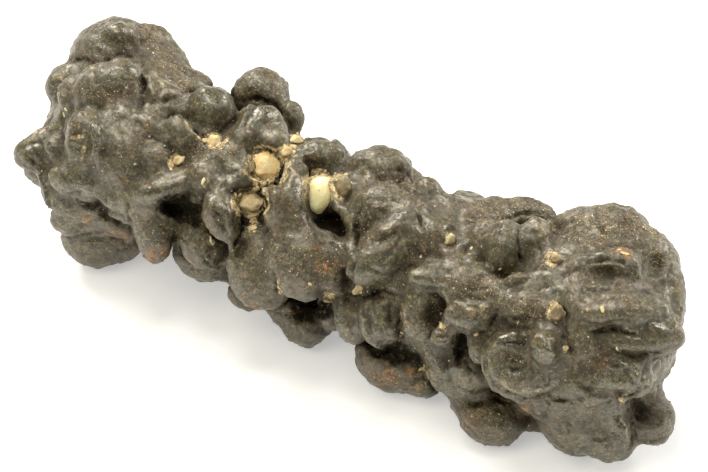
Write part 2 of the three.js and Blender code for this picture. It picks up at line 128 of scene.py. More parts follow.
# %% Node trees
class Tree:
    def __init__(self, tree):
        self.nodes, self.links = tree.nodes, tree.links

    def feed(self, socket, value):
        """Links a socket to an input, or sets the input to a number or a colour."""
        if isinstance(value, bpy.types.NodeSocket):
            self.links.new(value, socket)
        else:
            socket.default_value = (*value, 1) if isinstance(value, tuple) else value

    def add(self, kind, **inputs):
        """A new node, its inputs fed by name; an underscore stands for a space."""
        node = self.nodes.new("ShaderNode" + kind)
        for name, value in inputs.items():
            self.feed(node.inputs[name.replace("_", " ")], value)
        return node

    def math(self, operation, *values, clamp=False):
        node = self.add("Math")
        node.operation, node.use_clamp = operation, clamp
        for socket, value in zip(node.inputs, values):
            self.feed(socket, value)
        return node.outputs[0]

    def times(self, first, second, plus=0.0, clamp=False):
        return self.math("MULTIPLY_ADD", first, second, plus, clamp=clamp)

    def step(self, value, low, high):
        """0 below low, 1 above high, and a smooth rise between."""
        node = self.add("MapRange", Value=value, From_Min=low, From_Max=high)
        node.interpolation_type = "SMOOTHSTEP"
        return node.outputs["Result"]

    def mix(self, share, under, top, blend="MIX"):
        """One colour over another."""
        node = self.add("Mix")
        node.data_type, node.blend_type = "RGBA", blend
        colours = [socket for socket in node.inputs if socket.type == "RGBA"]
        for socket, value in zip((node.inputs["Factor"], *colours), (share, under, top)):
            self.feed(socket, value)
        return next(socket for socket in node.outputs if socket.type == "RGBA")

    def noise(self, vector, scale, detail=4.0, roughness=0.55):
        node = self.add("TexNoise", Vector=vector, Scale=scale, Detail=detail, Roughness=roughness)
        return node.outputs["Fac"]

    def cells(self, vector, scale):
        """Cell noise: the distance to the nearest cell's middle, and that cell's own three random numbers."""
        node = self.add("TexVoronoi", Vector=vector, Scale=scale)
        return node.outputs["Distance"], self.add("SeparateColor", Color=node.outputs["Color"]).outputs

    def ramp(self, value, *stops):
        """A colour ramp through stops of a position and a colour."""
        node = self.add("ValToRGB", Fac=value)
        elements = node.color_ramp.elements
        while len(elements) < len(stops):
            elements.new(0.5)
        for element, (position, colour) in zip(elements, stops):
            element.position, element.color = position, (*colour, 1)
        return node.outputs["Color"]

    def painted(self, name):
        node = self.add("Attribute")
        node.attribute_name = name
        return node.outputs["Fac"]

    def use(self, shared, place, scale, **values):
        """The outputs of a node group that is laid over a place at a scale."""
        node = self.nodes.new("ShaderNodeGroup")
        node.node_tree = shared
        for name, value in {"Vector": place, "Scale": scale, **values}.items():
            self.feed(node.inputs[name], value)
        return node.outputs

    def bump(self, *layers):
        """Bump layers, each a height and its full height in metres, one over the other; gives the normal."""
        normal = None
        for height, distance in layers:
            node = self.add("Bump", Height=height, Distance=distance)
            if normal:
                self.links.new(normal, node.inputs["Normal"])
            normal = node.outputs["Normal"]
        return normal


print("node calls:", [name for name in vars(Tree) if not name.startswith("_")])

# %% [markdown]
# ## Camera, light and floor
#
# A stone this small is photographed from well back with a long lens, which keeps its two ends in proportion.
# The lens follows from the sheet: whatever the distance, the sheet's width fills the picture. Soft light
# comes from a pale surround that is brighter overhead, and from three square panels above the stone's upper
# edge, whose reflections are the blurred shine of its waxy lumps. A larger panel in front only fills the
# shadows, as a polarised light would: it can't be seen in the shine. The floor is plain and pale.

# %% Camera
EYE_DISTANCE = 1200.0
SENSOR = 36.0

camera = bpy.data.objects.new("camera", bpy.data.cameras.new("camera"))
camera.data.sensor_width = SENSOR
camera.data.lens = SENSOR * EYE_DISTANCE / SHEET_WIDTH
camera.data.clip_start, camera.data.clip_end = 0.05, 20
camera.matrix_world = Matrix.Translation(at_rest((0, 0, EYE_DISTANCE))) @ to_rest.to_4x4()
scene.collection.objects.link(camera)
scene.camera = camera
eye = camera.matrix_world.translation.copy()
print("lens", round(camera.data.lens), "mm")

# %% Light panels and the surround
WARM_WHITE, STRAW = (1.0, 0.97, 0.91), (1.0, 0.94, 0.78)
PANELS = {  # direction right, up and outward of the sheet, distance, size, power, colour
    "left_softbox": ((-0.36, 0.95, 0.02), 0.6, 0.34, 4.3, WARM_WHITE),
    "right_softbox": ((0.76, 0.64, 0.06), 0.6, 0.28, 2.7, WARM_WHITE),
    "upper_front": ((-0.10, 0.72, 0.70), 0.8, 0.24, 2.3, WARM_WHITE),
    "front_panel": ((-0.5, 0.35, 1.0), 1.0, 0.7, 4.6, STRAW),
}
HORIZON, OVERHEAD = (0.20, 0.20, 0.19), (0.42, 0.42, 0.40)

for name, (direction, distance, size, power, colour) in PANELS.items():
    light = bpy.data.lights.new(name, "AREA")
    light.shape = "SQUARE"
    light.size, light.energy, light.color = size, power, colour
    lamp = bpy.data.objects.new(name, light)
    away = (to_rest @ Vector(direction)).normalized()
    lamp.location = sheet_middle + away * distance
    lamp.rotation_mode = "QUATERNION"
    lamp.rotation_quaternion = away.to_track_quat("Z", "Y")
    lamp.visible_glossy = name != "front_panel"
    scene.collection.objects.link(lamp)

world = bpy.data.worlds.new("pale_surround")
world.use_nodes = True
scene.world = world
sky = Tree(world.node_tree)
looking = sky.add("TexCoord").outputs["Generated"]
height = sky.add("SeparateXYZ", Vector=looking).outputs["Z"]
sky.feed(sky.nodes["Background"].inputs["Color"], sky.ramp(height, (0.0, HORIZON), (0.9, OVERHEAD)))
scene.view_settings.view_transform = "Standard"
print("lights:", sorted(PANELS))


# %% Floor
def new_piece(name, bm):
    """A mesh object at the origin, made from a bmesh, with smooth shading."""
    mesh = bpy.data.meshes.new(name)
    bm.to_mesh(mesh)
    bm.free()
    mesh.shade_smooth()
    piece = bpy.data.objects.new(name, mesh)
    scene.collection.objects.link(piece)
    return piece


def start_material(name, **settings):
    """A material with its tree, its Principled shader and its object coordinates."""
    material = bpy.data.materials.new(name)
    material.use_nodes = True
    tree = Tree(material.node_tree)
    shader = tree.nodes["Principled BSDF"]
    for label, value in settings.items():
        tree.feed(shader.inputs[label.replace("_", " ")], value)
    return material, tree, shader, tree.add("TexCoord").outputs["Object"]


bm = bmesh.new()
bmesh.ops.create_grid(bm, x_segments=1, y_segments=1, size=3.0)
floor = new_piece("floor", bm)
paper = {"Base_Color": (0.80, 0.80, 0.79), "Emission_Color": (1.0, 1.0, 1.0), "Emission_Strength": 0.38}
floor_finish, *_ = start_material("pale_floor", Roughness=0.9, **paper)
floor.data.materials.append(floor_finish)
floor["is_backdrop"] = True
print("floor made")

# %% [markdown]
# ## The lumps
#
# A stone like this is one mass, but it reads as a heap of swollen lumps with tight creases between them.
# Modelling it as one sculpted skin would hide which lump is which. So each lump is its own ball, squashed
# and turned on the sheet, and all of them are fused later. A row gives a lump's centre on the sheet, its
# half width and half height, its turn in degrees, how far it stands out from the ring of lumps, and its
# half depth. Some rows end with the lump's name.

# %% Left end
LEFT_END_LUMPS = """
11.1:6.1 4.7:4.7 0 -1.5 4.4 crown dome
11.7:3.5 2.2:1.4 0 1 1.6 bulge under its top
14.8:4.5 2.6:2.5 0 -2.2 2.5 knob beside the crown
16.8:5.3 1.9:1.6 -45 -2.4 1.8
14.9:3.4 1.5:1.4 0 -2.2 1.5
17.3:6 2.2:1.5 -48 -2.6 1.8 its back edge
19.8:8.4 2:1.4 -42 -2.6 1.8
16.4:7.4 5:2.5 -48 -1.8 3 long shoulder ridge
19.2:9.6 2.6:1.8 -35 -1.5 2.2
7.7:9.6 2.2:2.4 0 .4 2.2 brow of two lobes under the crown
11:9 4:3.1 18 1.5 2.7
6.7:8.7 2.5:2.6 0 -1.8 2.5 cheek behind the brow
16:10.5 3.4:2.6 -30 .3 2.6
8.5:13.7 2.2:3 0 2 1.9 pitted knob
9.7:14.2 .7:2.1 0 3.3 1
4.7:14.9 3.7:2.2 12 -.2 2.4 pointed nose
5.2:14.8 1:1.3 0 1.6 1.1
4.5:16.4 2.8:2.6 -30 -2 2.8 round lump behind the nose
6.2:18.4 2.4:3.4 0 0 2.4
9.2:18 4.6:2.6 -8 1 2.8 smooth flank
12.8:15.6 3.8:3.8 0 .5 3
12.4:12.6 3.2:2.4 0 .8 2.4
18.2:13.4 1.5:2.2 35 1.4 1.5
15:12.6 1.6:1.5 0 1.6 1.5
16:16 1.9:1.3 -25 1.4 1.4
16.6:14.2 1.3:1.1 -30 1.1 1.2
7.9:21.6 3.4:2.5 0 .4 2.8 lower left lump
9.5:23.3 3.9:3.5 0 -2.6 3.4 lowest left lump
12.2:22.8 1.8:1.6 0 -1 1.8
15.2:21.8 2.3:4.5 4 .3 2.6 hanging drop
14.6:19.6 3.6:2.6 -20 .2 2.7
12.8:20 2.6:2.6 0 .6 2.4
16.8:18.7 3.7:1.6 18 1.5 2 tongue over the dark hollow
20.4:24 2.6:3 30 -.2 2.4 lip of the lower pocket
20.4:25.7 3.3:2.6 -20 -2.8 3 lump behind the lip
"""

# %% Neck
NECK_LUMPS = """
21.1:11 2.7:2.6 0 1.3 2.5 round ball
25.9:9.7 3.1:3.1 0 -1 2.9 top ball
26:12.6 2.6:2.5 0 1.4 2.3 ball in front of it
24:14.4 1.2:2.8 -18 .8 1.4
29:11.7 1.6:1.9 0 -1.2 1.7
27.6:14.2 1.9:1.4 0 .9 1.5
31:15.6 3.2:1.7 0 -.2 2 finger
33.2:15.8 1.4:1.75 0 .1 1.6 its round tip
22.6:16.4 2.6:2.2 0 0 2
24.4:17.7 1.9:1.7 0 .4 1.5
20.4:17.6 2:1.8 0 .9 1.5
22.9:18.6 1.5:1.2 0 1 1.2
22.2:21.6 2:2.8 25 1.9 1.8 grooved knob
28.6:20.4 2.5:4 12 1.6 2.3 upright ridge
30:22.5 1.6:2.6 20 1.2 1.8
29:18.2 1.5:1.6 0 1.7 1.7
29.5:17 1.5:1.2 0 1.1 1.4
26.4:26.6 3.8:4.5 0 .4 3.6 big dome of two lobes
30.6:26 4:4.2 0 .8 3.4
33.4:27 2:2.6 0 .6 2
25:29.2 2.4:2.2 0 -.4 2.2
28.6:30.4 2.6:1.6 0 0 1.8
30.6:31.9 2.8:2.9 0 -2.8 2.8 keel
29:31.4 2.2:1.8 -25 -2.4 2.2
33.4:31 1.8:2.2 0 -2.6 2.2
"""

# %% Middle
MIDDLE_LUMPS = """
37.9:17.2 3.3:2.6 0 -.4 2.8 rounded cap
38.2:20.6 3.2:2.3 0 1 2.3
42.6:19.8 2:2.3 0 -.4 2.1
45.4:21.2 2.4:1.6 -32 -.8 1.8
40.8:21.6 2.6:2 0 1 1.8
38.8:23.2 3:1.4 35 1.6 1.7
37.8:25.9 3.7:2.3 30 1.3 2.2
35.2:20.2 .9:1.5 -20 .8 1.1 knobs down the left edge
35.1:22.6 1:1.3 -30 1.3 1
35:25 1:1.5 0 1.3 1
43:27.7 2.6:1.5 0 1.4 1.7
43.4:23.8 2.6:2.2 0 .4 1.8
45.8:26 2:1.6 0 .5 1.6
35.4:31.6 2.1:2.9 0 1.1 2.2 hanging ball of two lobes
38.1:31.8 2.3:3.1 0 1.3 2.4
42:31.4 2.2:2.6 0 1.2 2.1
39.8:36 4.5:3.4 -16 -2.4 3.4 underside lump
42.4:38 2:1.9 0 -2.6 1.9
44.3:33.3 1.3:1.3 0 3.3 1.2 crescent knob
44.6:36.4 2.2:3 0 .4 2.2
44.1:36 1.2:2.6 8 2.3 1.5
45.9:36.9 1.1:.7 20 2.9 1
47.6:34.6 1.2:2 0 1.7 1.5
46.6:28.6 3.2:2.4 0 1.2 2.2
47.2:31.4 3.3:2 5 1.7 2.1
"""

# %% Right half
RIGHT_LUMPS = """
49:21.6 3.2:2 0 -2.4 2.6 back ridge
53:21.9 3:2.1 -22 -2.2 2.6
48:24.4 1.8:2.6 -35 -.2 2
50.3:24.8 2.1:3 -8 1 2.2 upright pair
53.6:24.4 1.8:2.9 10 .7 2.2
54.8:27.6 2:1.6 0 1 1.6
51.6:27.8 1.5:.8 0 2 1.1
52.6:30.4 3.4:2 0 .9 2
49.6:29.6 2.4:2 0 .8 1.8
52.2:36.2 4.6:3.8 -8 1.3 3 great round boss
54.3:34.6 1.8:1.9 0 3 1.6 its bright shoulder
50.6:34 1.7:.7 15 3.4 1
47.2:36.4 2.4:2.6 0 .9 2.2
47:38.4 3.2:1.9 -8 .4 2.3
49.2:41.7 3.4:2.9 -10 -1.4 3 belly lump
47.1:40.2 2.3:2.1 -35 -1.4 2.2
53.4:42.2 1.5:1.1 0 -3.6 1.4
"""
RIGHT_END_LUMPS = """
60.6:25.1 5.3:4.7 -24 -1.4 4.4 back dome
57.2:23.2 2.5:2.3 0 -1.8 2.3
57.9:22.5 2.4:1.9 10 -2.2 2.2
64.7:26.9 3.2:4.1 10 -1.2 3.3
60.9:26.8 3.5:1.9 -5 1.9 2 brow
59.2:25.6 1.8:.8 8 3.7 1.1
62.3:25.3 1.5:.8 -8 3.6 1.1
63.8:26.8 .8:1.7 -8 3.2 1.1
57.8:27.6 2:2.4 0 1.2 1.8
66.2:29.6 2.2:4.6 3 .2 2.6
61.6:31 4.8:2 2 1.6 2.4 band
63.8:33.6 4.4:2.3 2 1.8 2.6 lower lip
65:32.5 2.2:.8 -4 3.7 1.2
61.2:31.1 4:1.1 2 2.8 1.6
57.8:30.6 2.4:2.8 0 1 2
57.8:34 2.2:2.8 0 .6 2
61.6:37.2 3.5:2.6 -12 1.3 2.6 wedge under the lip
63.1:37 1.8:.7 -65 3.7 1
64:36.8 1.7:1.8 0 .4 1.8
58.4:37.6 2.6:2.8 0 .6 2.3
57.8:42 3.7:3.3 0 -.4 3.2 left half of the chin
60.8:43 3.2:3.1 0 -.2 3 right half of the chin
61.4:42 .9:2.4 28 3.2 1.1
60:41.4 2.4:1.6 0 1.5 2
64.9:41.4 2.4:3.2 12 -1 2.6 lobe at the lower right
62.4:41.6 1.4:2.4 25 .6 1.5
55.2:42 1.8:1.8 0 -1 1.8
"""
face_lumps = read_table(LEFT_END_LUMPS + NECK_LUMPS + MIDDLE_LUMPS + RIGHT_LUMPS + RIGHT_END_LUMPS)
print(len(face_lumps), "lumps on the best face")

# %% [markdown]
# ## The far side and the feet
#
# The stone has no back: it is lumps all round. Those that the sheet can't show are given by their place
# along the axis and the angle round it, from the best face over the top. Thick masses along the core close
# the middle, and the four lowest lumps are the feet that it lies on.

# %% Far lumps, feet and core
# station:angle, half length, half height, half width, lift
FAR_LUMPS = """
-30.5:182 4.8 4.6 4.6 -2, -25:134 5.4 4.4 4.6 -.6, -22:170 5 4.2 4.8 .6, -15.5:128 4 3.6 3.8 -.4
-13:176 5 4 4.6 -.4, -8:128 3.6 3.2 3.4 -1, -5:166 4.6 3.8 4.4 -.4, -4:214 4.4 3.8 4.2 -.4
1:130 4 3.4 3.6 -.6, 4.5:178 5 4 4.6 -.2, 6:224 4.4 3.6 4.2 0, 9:140 4.6 3.6 4.2 -.2, 14.5:184 5 4.2 4.6 .2
17:140 4.8 4 4.4 .2, 23.5:174 5.2 4.4 4.8 .8, 26:138 5 4.6 4.6 .4, 28.5:190 4.2 4.2 4.4 -.6
-9.5:244 3.6 3.4 3.5 -.6, 12.5:236 4.2 3.8 4 0
"""
FEET = [(-21.5, 200, 4.4), (-27.0, 242, 4.2), (22.0, 200, 4.6), (28.5, 244, 4.2)]  # station, angle, radius
FOOT_BURY = 0.4  # how much of each foot is worn flat
STRAIGHT_DOWN = 225
CORE_MASSES = [  # station, half length, radius
    (-27.0, 8.5, 9.6), (-12.0, 12.0, CORE_RADIUS), (6.0, 14.0, CORE_RADIUS), (12.0, 9.0, 8.4),
    (27.0, 9.5, 9.8),
]

axis = to_rest.transposed() @ Vector((1, 0, 0))  # the long axis, seen on the sheet
over = Vector((-axis.y, axis.x, 0)).normalized()
towards = axis.cross(over)
flat_length = math.hypot(axis.x, axis.y)
axis_middle = on_sheet(*AXIS_START) + axis * CORE_LENGTH / 2
axis_middle.z = 0
axis_start = axis_middle - axis * CORE_LENGTH / 2


def beside(station, angle, radius):
    """A point round the axis: how far along it from its middle, the angle round it, and how far out."""
    out = towards * math.cos(math.radians(angle)) + over * math.sin(math.radians(angle))
    return axis_middle + axis * station + out * radius


def ring_depth(across, down):
    """How deep the ring of lump centres lies straight under a point of the sheet."""
    offset = on_sheet(across, down) - axis_start
    station = (offset.x * axis.x + offset.y * axis.y) / flat_length**2
    side = offset.x * over.x + offset.y * over.y
    held = min(max(station, 0), CORE_LENGTH)
    past = (station - held) * flat_length
    rise = math.sqrt(max(LUMP_SEAT**2 - side**2 - past**2, 0)) / flat_length
    return axis_start.z + held * axis.z + rise


print("axis passes", [round(v, 1) for v in axis_middle], "mm from the sheet's middle")

# %% [markdown]
# ## Fusing the lumps
#
# Balls that pass through each other have a lot of hidden surface inside. A voxel remesh throws that away:
# it samples the heap on a fine grid and lays one new skin of even quads over the outside, which then holds
# any detail that is sculpted into it. A little smoothing takes the grid's stair-steps off and leaves the
# creases tight.


# %% Helpers to place a ball and to settle a modifier
def ball(bm, centre, half, turn):
    """One squashed ball, its half sizes running along the sheet, up it and out of it."""
    turned = (to_rest @ Matrix.Rotation(math.radians(turn), 3, "Z")).to_4x4()
    place = Matrix.Translation(at_rest(centre)) @ turned
    size = Matrix.Diagonal((half[0] * mm, half[1] * mm, half[2] * mm, 1))
    bmesh.ops.create_icosphere(bm, subdivisions=4, radius=1.0, matrix=place @ size)


def settle(piece):
    """Applies the modifiers of a piece to its mesh."""
    graph = bpy.context.evaluated_depsgraph_get()
    settled = bpy.data.meshes.new_from_object(piece.evaluated_get(graph))
    piece.modifiers.clear()
    old, piece.data = piece.data, settled
    bpy.data.meshes.remove(old)


def remesh(piece, voxel):
    skin = piece.modifiers.new("skin", "REMESH")
    skin.mode, skin.voxel_size, skin.use_smooth_shade = "VOXEL", voxel, True
    settle(piece)


print("helpers ready")

# %% Heap up the lumps
bm = bmesh.new()
for across, down, half_width, half_height, turn, lift, half_depth, *_ in face_lumps:
    centre = on_sheet(across, down, ring_depth(across, down) + lift)
    ball(bm, centre, (half_width, half_height, half_depth), turn)
slope = -math.degrees(AXIS_SLOPE)
for station, angle, half_length, half_height, half_width, lift in read_table(FAR_LUMPS):
    ball(bm, beside(station, angle, LUMP_SEAT + lift), (half_length, half_width, half_height), slope)
for station, angle, radius in FEET:
    reach = (REST_HEIGHT + FOOT_BURY - radius) / math.cos(math.radians(angle - STRAIGHT_DOWN))
    ball(bm, beside(station, angle, reach), (radius, radius, radius), 0)
for station, half_length, radius in CORE_MASSES:
    ball(bm, beside(station, 0, 0), (half_length, radius, radius), slope)
stone = new_piece("goethite_stone", bm)
print("heaped", len(stone.data.polygons), "faces")

# %% [markdown]
# ## Working on thousands of points at once
#
# A sculptor's brush moves many points of the skin together. NumPy does the same: it holds every point of
# the mesh as one array, so a stroke is a line or two of arithmetic. Averaging each point with its neighbours
# along the mesh's edges is the smooth brush, and it also gives a soft mask or a measure of how hollow the
# skin is.


# %% Arrays in and out of a mesh
def points_of(mesh, what="co"):
    values = np.empty(len(mesh.vertices) * 3)
    mesh.vertices.foreach_get(what, values)
    return values.reshape(-1, 3)


def normals_of(mesh):
    return points_of(mesh, "normal")


def edges_of(mesh):
    pairs = np.empty(len(mesh.edges) * 2, dtype=np.int32)
    mesh.edges.foreach_get("vertices", pairs)
    return pairs.reshape(-1, 2)


def move_points(mesh, points):
    mesh.vertices.foreach_set("co", points.ravel())
    mesh.update()


def paint_attribute(mesh, name, values):
    """One number for each point of the mesh, which a material can read."""
    mesh.attributes.new(name, "FLOAT", "POINT").data.foreach_set("value", values.astype(np.float32))


def tree_of(points, mesh):
    """A search tree for rays, over the mesh's faces with their points at the given places."""
    return BVHTree.FromPolygons([tuple(p) for p in points], [tuple(p.vertices) for p in mesh.polygons])


def evened(values, pairs, rounds):
    """Each value moved halfway to the mean of its neighbours, several times over."""
    flat = values.ndim == 1
    values = values.reshape(len(values), -1).astype(float)
    count = np.maximum(np.bincount(pairs.ravel(), minlength=len(values)), 1)
    for _ in range(rounds):
        total = np.empty_like(values)
        for k in range(values.shape[1]):
            total[:, k] = np.bincount(pairs[:, 0], values[pairs[:, 1], k], len(values))
            total[:, k] += np.bincount(pairs[:, 1], values[pairs[:, 0], k], len(values))
        values = values * 0.5 + total / count[:, None] * 0.5
    return values[:, 0] if flat else values


def outward_normals(mesh, pairs):
    """The skin's normals, evened so that fine relief doesn't turn them."""
    normals = evened(normals_of(mesh), pairs, 2)
    return normals / np.maximum(np.linalg.norm(normals, axis=1), 1e-9)[:, None]


def in_face_frame(points):
    """Points as millimetres right, up and outward of the sheet's middle."""
    return (points - np.array(sheet_middle)) @ np.array(to_rest) / mm


def seen_at(points):
    """Where the eye sees each point on the sheet: across and down."""
    local = in_face_frame(points)
    scale = EYE_DISTANCE / (EYE_DISTANCE - local[:, 2])
    across = SHEET_WIDTH / 2 + local[:, 0] * scale
    down = SHEET_HEIGHT / 2 - local[:, 1] * scale
    return np.stack([across, down], axis=1)


def round_an_oval(seen, across, down, half_width, half_height, turn=0):
    """Distance from an oval's middle, 1 at its rim."""
    angle = math.radians(turn)
    x, y = seen[:, 0] - across, down - seen[:, 1]
    u = (x * math.cos(angle) + y * math.sin(angle)) / half_width
    v = (-x * math.sin(angle) + y * math.cos(angle)) / half_height
    return np.sqrt(u * u + v * v)


def noise_over(points, size, function, seed=0.0):
    """A noise function read at every point, with features about size millimetres across."""
    offset = Vector((seed * 7.31, seed * 3.17, seed * 5.53))
    return np.array([function(Vector(p) + offset) for p in points / (size * mm)])


def wobble(points, amount, size):
    """A small uneven shift on the sheet for every point, in millimetres, so that no edge runs true."""
    return noise_over(points, size, noise.noise_vector, 5.0)[:, :2] * amount


print("array helpers ready")

# %% [markdown]
# ## Hollows
#
# Some creases are deep enough to look black. A boolean cut would leave hard edges, so the skin is drilled
# instead: any point of it that lies over a hollow is pushed back along the line of sight to the hollow's
# floor, and a second remesh evens out the stretched walls. Each trapped grain gets a shallow seat too.

# %% Hollow tables
# across:down, half width:half height, turn, depth under the rim
HOLLOWS = """
17.5:20.9 1.5:.8 -14 2.6 under the tongue
19:21.4 1.3:1.1 -40 3.2
24.4:24.2 .7:.5 38 1.4
23.9:25.2 .6:.5 20 1.4
32.8:22.1 1.5:1 -12 4.4 deep hole beside the upright ridge
33.9:22.9 .7:1.4 20 3.4
46:34.6 .42:1.2 -8 2.6
43.4:31.4 .6:1.3 -12 1
60.6:27.3 2:.9 -4 1 under the brow
65.5:26.3 1:.8 20 1.2
63.5:41 .6:1.3 20 1.6 recess beside the chin
27.6:28.4 .35:.75 22 1.1
39.4:35 2:.7 -22 1.6 under the hanging balls
46.8:24.7 .8:.4 30 .8
46:26 .4:.4 0 .8
9.3:6.3 1.9:.22 -4 .35 long creases under the crown and beside the brow
12.6:5.6 1.7:.22 8 .35
14.3:7.8 .26:1.8 0 .7
25.2:11.4 .2:1.3 -27 .6
61.6:39.6 2.5:.32 6 1.1 under the wedge and the boss
57:40 1.7:.28 0 .9
63.6:35.5 2.6:.28 0 .9
"""
hollows = [row[:6] for row in read_table(HOLLOWS)]


def rim_of(points, *oval):
    """How far out the nearest skin stands over an oval of the sheet."""
    out = in_face_frame(points)[:, 2][round_an_oval(seen_at(points), *oval) < 1.2]
    return float(np.percentile(out[out > out.max() - 3], 60))


def drill(points, shake, oval, floor_depth, half_depth, steepness):
    """Pushes points that lie over a hollow back to its floor, along the line of sight."""
    local, reach = in_face_frame(points), round_an_oval(seen_at(points) + shake, *oval)
    bowl = floor_depth - half_depth * np.sqrt(np.clip(1 - reach**2, 0, 1))
    wall = np.clip(reach - 1, 0, None) * (oval[2] + oval[3]) * steepness
    push = np.clip(local[:, 2] - bowl - wall, 0, None)
    push[(reach > 1.8) | (local[:, 2] < floor_depth - 2 * half_depth)] = 0
    return points - np.array(outward) * (push * mm)[:, None]


print(len(hollows), "hollows")

# %% Fuse, drill, fuse again
COARSE_VOXEL, FINE_VOXEL = 0.30, 0.235
CREASE_FILL = 0.95  # how much of the sharpest valleys between balls is filled
HOLLOW_WALL, SEAT_WALL = 1.6, 3.2  # how steep their walls are
SEAT_SHARE, SEAT_BOWL = 0.87, 0.3  # a seat's width as a share of its grain's, and how far it is bowled out
FRONT_SHARE, BACK_SHARE = 0.72, 0.28  # a seat lies between its grain's front and back, nearer the front

remesh(stone, COARSE_VOXEL * mm)
skin, pairs, normals = points_of(stone.data), edges_of(stone.data), normals_of(stone.data)
fill = np.clip(((evened(skin, pairs, 60) - skin) * normals).sum(axis=1), 0, None)
skin = skin + normals * evened(fill * CREASE_FILL, pairs, 8)[:, None]
shake = wobble(skin, 0.45, 1.6) + wobble(skin, 0.2, 0.6)
for *oval, depth in hollows:
    skin = drill(skin, shake, oval, rim_of(skin, *oval), depth, HOLLOW_WALL)

seats = {}
for name in frame["nodes"]:
    if name == "goethite_body":
        continue
    grain = points_of(frame["nodes"][name].data)
    out, seen = in_face_frame(grain)[:, 2], seen_at(grain)
    middle, half = (seen.max(0) + seen.min(0)) / 2, (seen.max(0) - seen.min(0)) / 2 + 0.1
    seats[name] = (middle[0], middle[1], half[0], half[1], 0)
    seat = (middle[0], middle[1], half[0] * SEAT_SHARE, half[1] * SEAT_SHARE, 0)
    level = float(out.max() * FRONT_SHARE + out.min() * BACK_SHARE)
    skin = drill(skin, shake * 0.3, seat, level, SEAT_BOWL, SEAT_WALL)

move_points(stone.data, evened(skin, pairs, 1))
remesh(stone, FINE_VOXEL * mm)
stone.data.shade_smooth()

# Evening takes off the grid's steps, and the slow part of what it took is put back.
skin, pairs = points_of(stone.data), edges_of(stone.data)
softer = evened(skin, pairs, 12)
skin = softer + evened(skin - softer, pairs, 40)
move_points(stone.data, skin)
print("fused skin:", len(stone.data.polygons), "quads")

# %% [markdown]
# ## What the eye can see
#
# The strokes that follow are drawn on the sheet, so they may only touch skin that the eye sees from there.
# A ray from each point back to the eye tells: if it meets more stone, the point is hidden. The mask is
# softened a little so that no stroke ends in a hard step.


# %% Mask of the seen skin
def seen_mask(mesh, pairs):
    points, normals = points_of(mesh), normals_of(mesh)
    stone_tree = tree_of(points, mesh)
    mask = np.zeros(len(points))
    for i in np.nonzero(normals @ np.array(outward) > 0.02)[0]:
        start = Vector(points[i]) + Vector(normals[i]) * 0.12 * mm
        mask[i] = stone_tree.ray_cast(start, outward, 0.1)[0] is None
    return evened(mask, pairs, 3)


seen_share, seen = seen_mask(stone.data, pairs), seen_at(skin)
print("seen from the eye:", round(float(seen_share.mean()), 2), "of the skin")

# %% [markdown]
# ## Brushes
#
# A stroke is a short line on the sheet with a width and a height. Four brushes are enough: a crease cuts a
# sharp valley, a groove a round one, a ridge raises a rounded line, and a step lifts the skin on the left of
# the stroke's travel, as where one shell of goethite ends over another. Three stamps go with them, all
# ovals: a soft bump, a knob with a clear edge and a pit. A stroke's corners are cut first, so that a line of
# a few points bends smoothly.


# %% Stroke and stamp brushes
def rounded_line(points):
    """The line with its corners cut twice, its two ends kept."""
    points = np.array(points, dtype=float)
    for _ in range(2):
        first, second = points[:-1] * 0.75 + points[1:] * 0.25, points[:-1] * 0.25 + points[1:] * 0.75
        middle = np.stack([first, second], axis=1).reshape(-1, 2)
        points = np.vstack([points[:1], middle[1:-1], points[-1:]]) if len(points) > 2 else points
    return points


def measure_line(seen, points, reach):
    """For each point near the line: its number, its distance and side, and its share of the way along."""
    line = rounded_line(points)
    near = np.nonzero(((seen > line.min(0) - reach) & (seen < line.max(0) + reach)).all(axis=1))[0]
    here = seen[near]
    distance, side, run = np.full(len(near), 1e9), np.zeros(len(near)), np.zeros(len(near))
    lengths = np.linalg.norm(np.diff(line, axis=0), axis=1)
    done = 0.0
    for start, end, length in zip(line[:-1], line[1:], lengths):
        along = (end - start) / max(length, 1e-9)
        travel = np.clip((here - start) @ along, 0, length)
        gap = here - start - travel[:, None] * along
        off = np.linalg.norm(gap, axis=1)
        closer = off < distance
        distance[closer] = off[closer]
        side[closer] = np.sign(along[1] * gap[closer, 0] - along[0] * gap[closer, 1])
        run[closer] = (done + travel[closer]) / lengths.sum()
        done += length
    return near, distance, side, run


def brush_stroke(lift, seen, kind, width, height, points):
    """Adds one stroke to the lift of each point, in millimetres."""
    near, distance, side, run = measure_line(seen, points, width * 4)
    taper = np.clip(np.minimum(run, 1 - run) * 7 + 0.15, 0, 1)
    if kind == "crease":
        shape = -np.clip(1 - distance / width, 0, 1) ** 1.4
    elif kind == "step":
        raised, sunk = np.exp(-distance / (width * 2.2)), -0.8 * np.exp(-distance / (width * 0.8))
        shape = np.where(side > 0, raised, sunk)
    else:
        shape = np.exp(-((distance / width) ** 2) * 1.6) * (1 if kind == "ridge" else -1)
    lift[near] += height * taper * shape


def brush_stamp(lift, seen, kind, height, oval):
    reach = round_an_oval(seen, *oval)
    inside = reach < 2.2
    if kind == "bump":
        lift[inside] += height * np.exp(-(reach[inside] ** 2) * 1.5)
    elif kind == "knob":
        lift[inside] += height * np.sqrt(np.clip(1 - reach[inside] ** 2, 0, 1))
    else:
        lift[inside] -= height * np.exp(-(reach[inside] ** 3) * 1.3)


print("brushes ready")

# %% [markdown]
# ## Strokes on the best face
#
# Each region of the stone has its own creases, folds and shell edges. They are what tells one such stone
# from another, so they are drawn one by one. A row is the brush, its width and height in millimetres, and
# the points that it passes on the sheet.

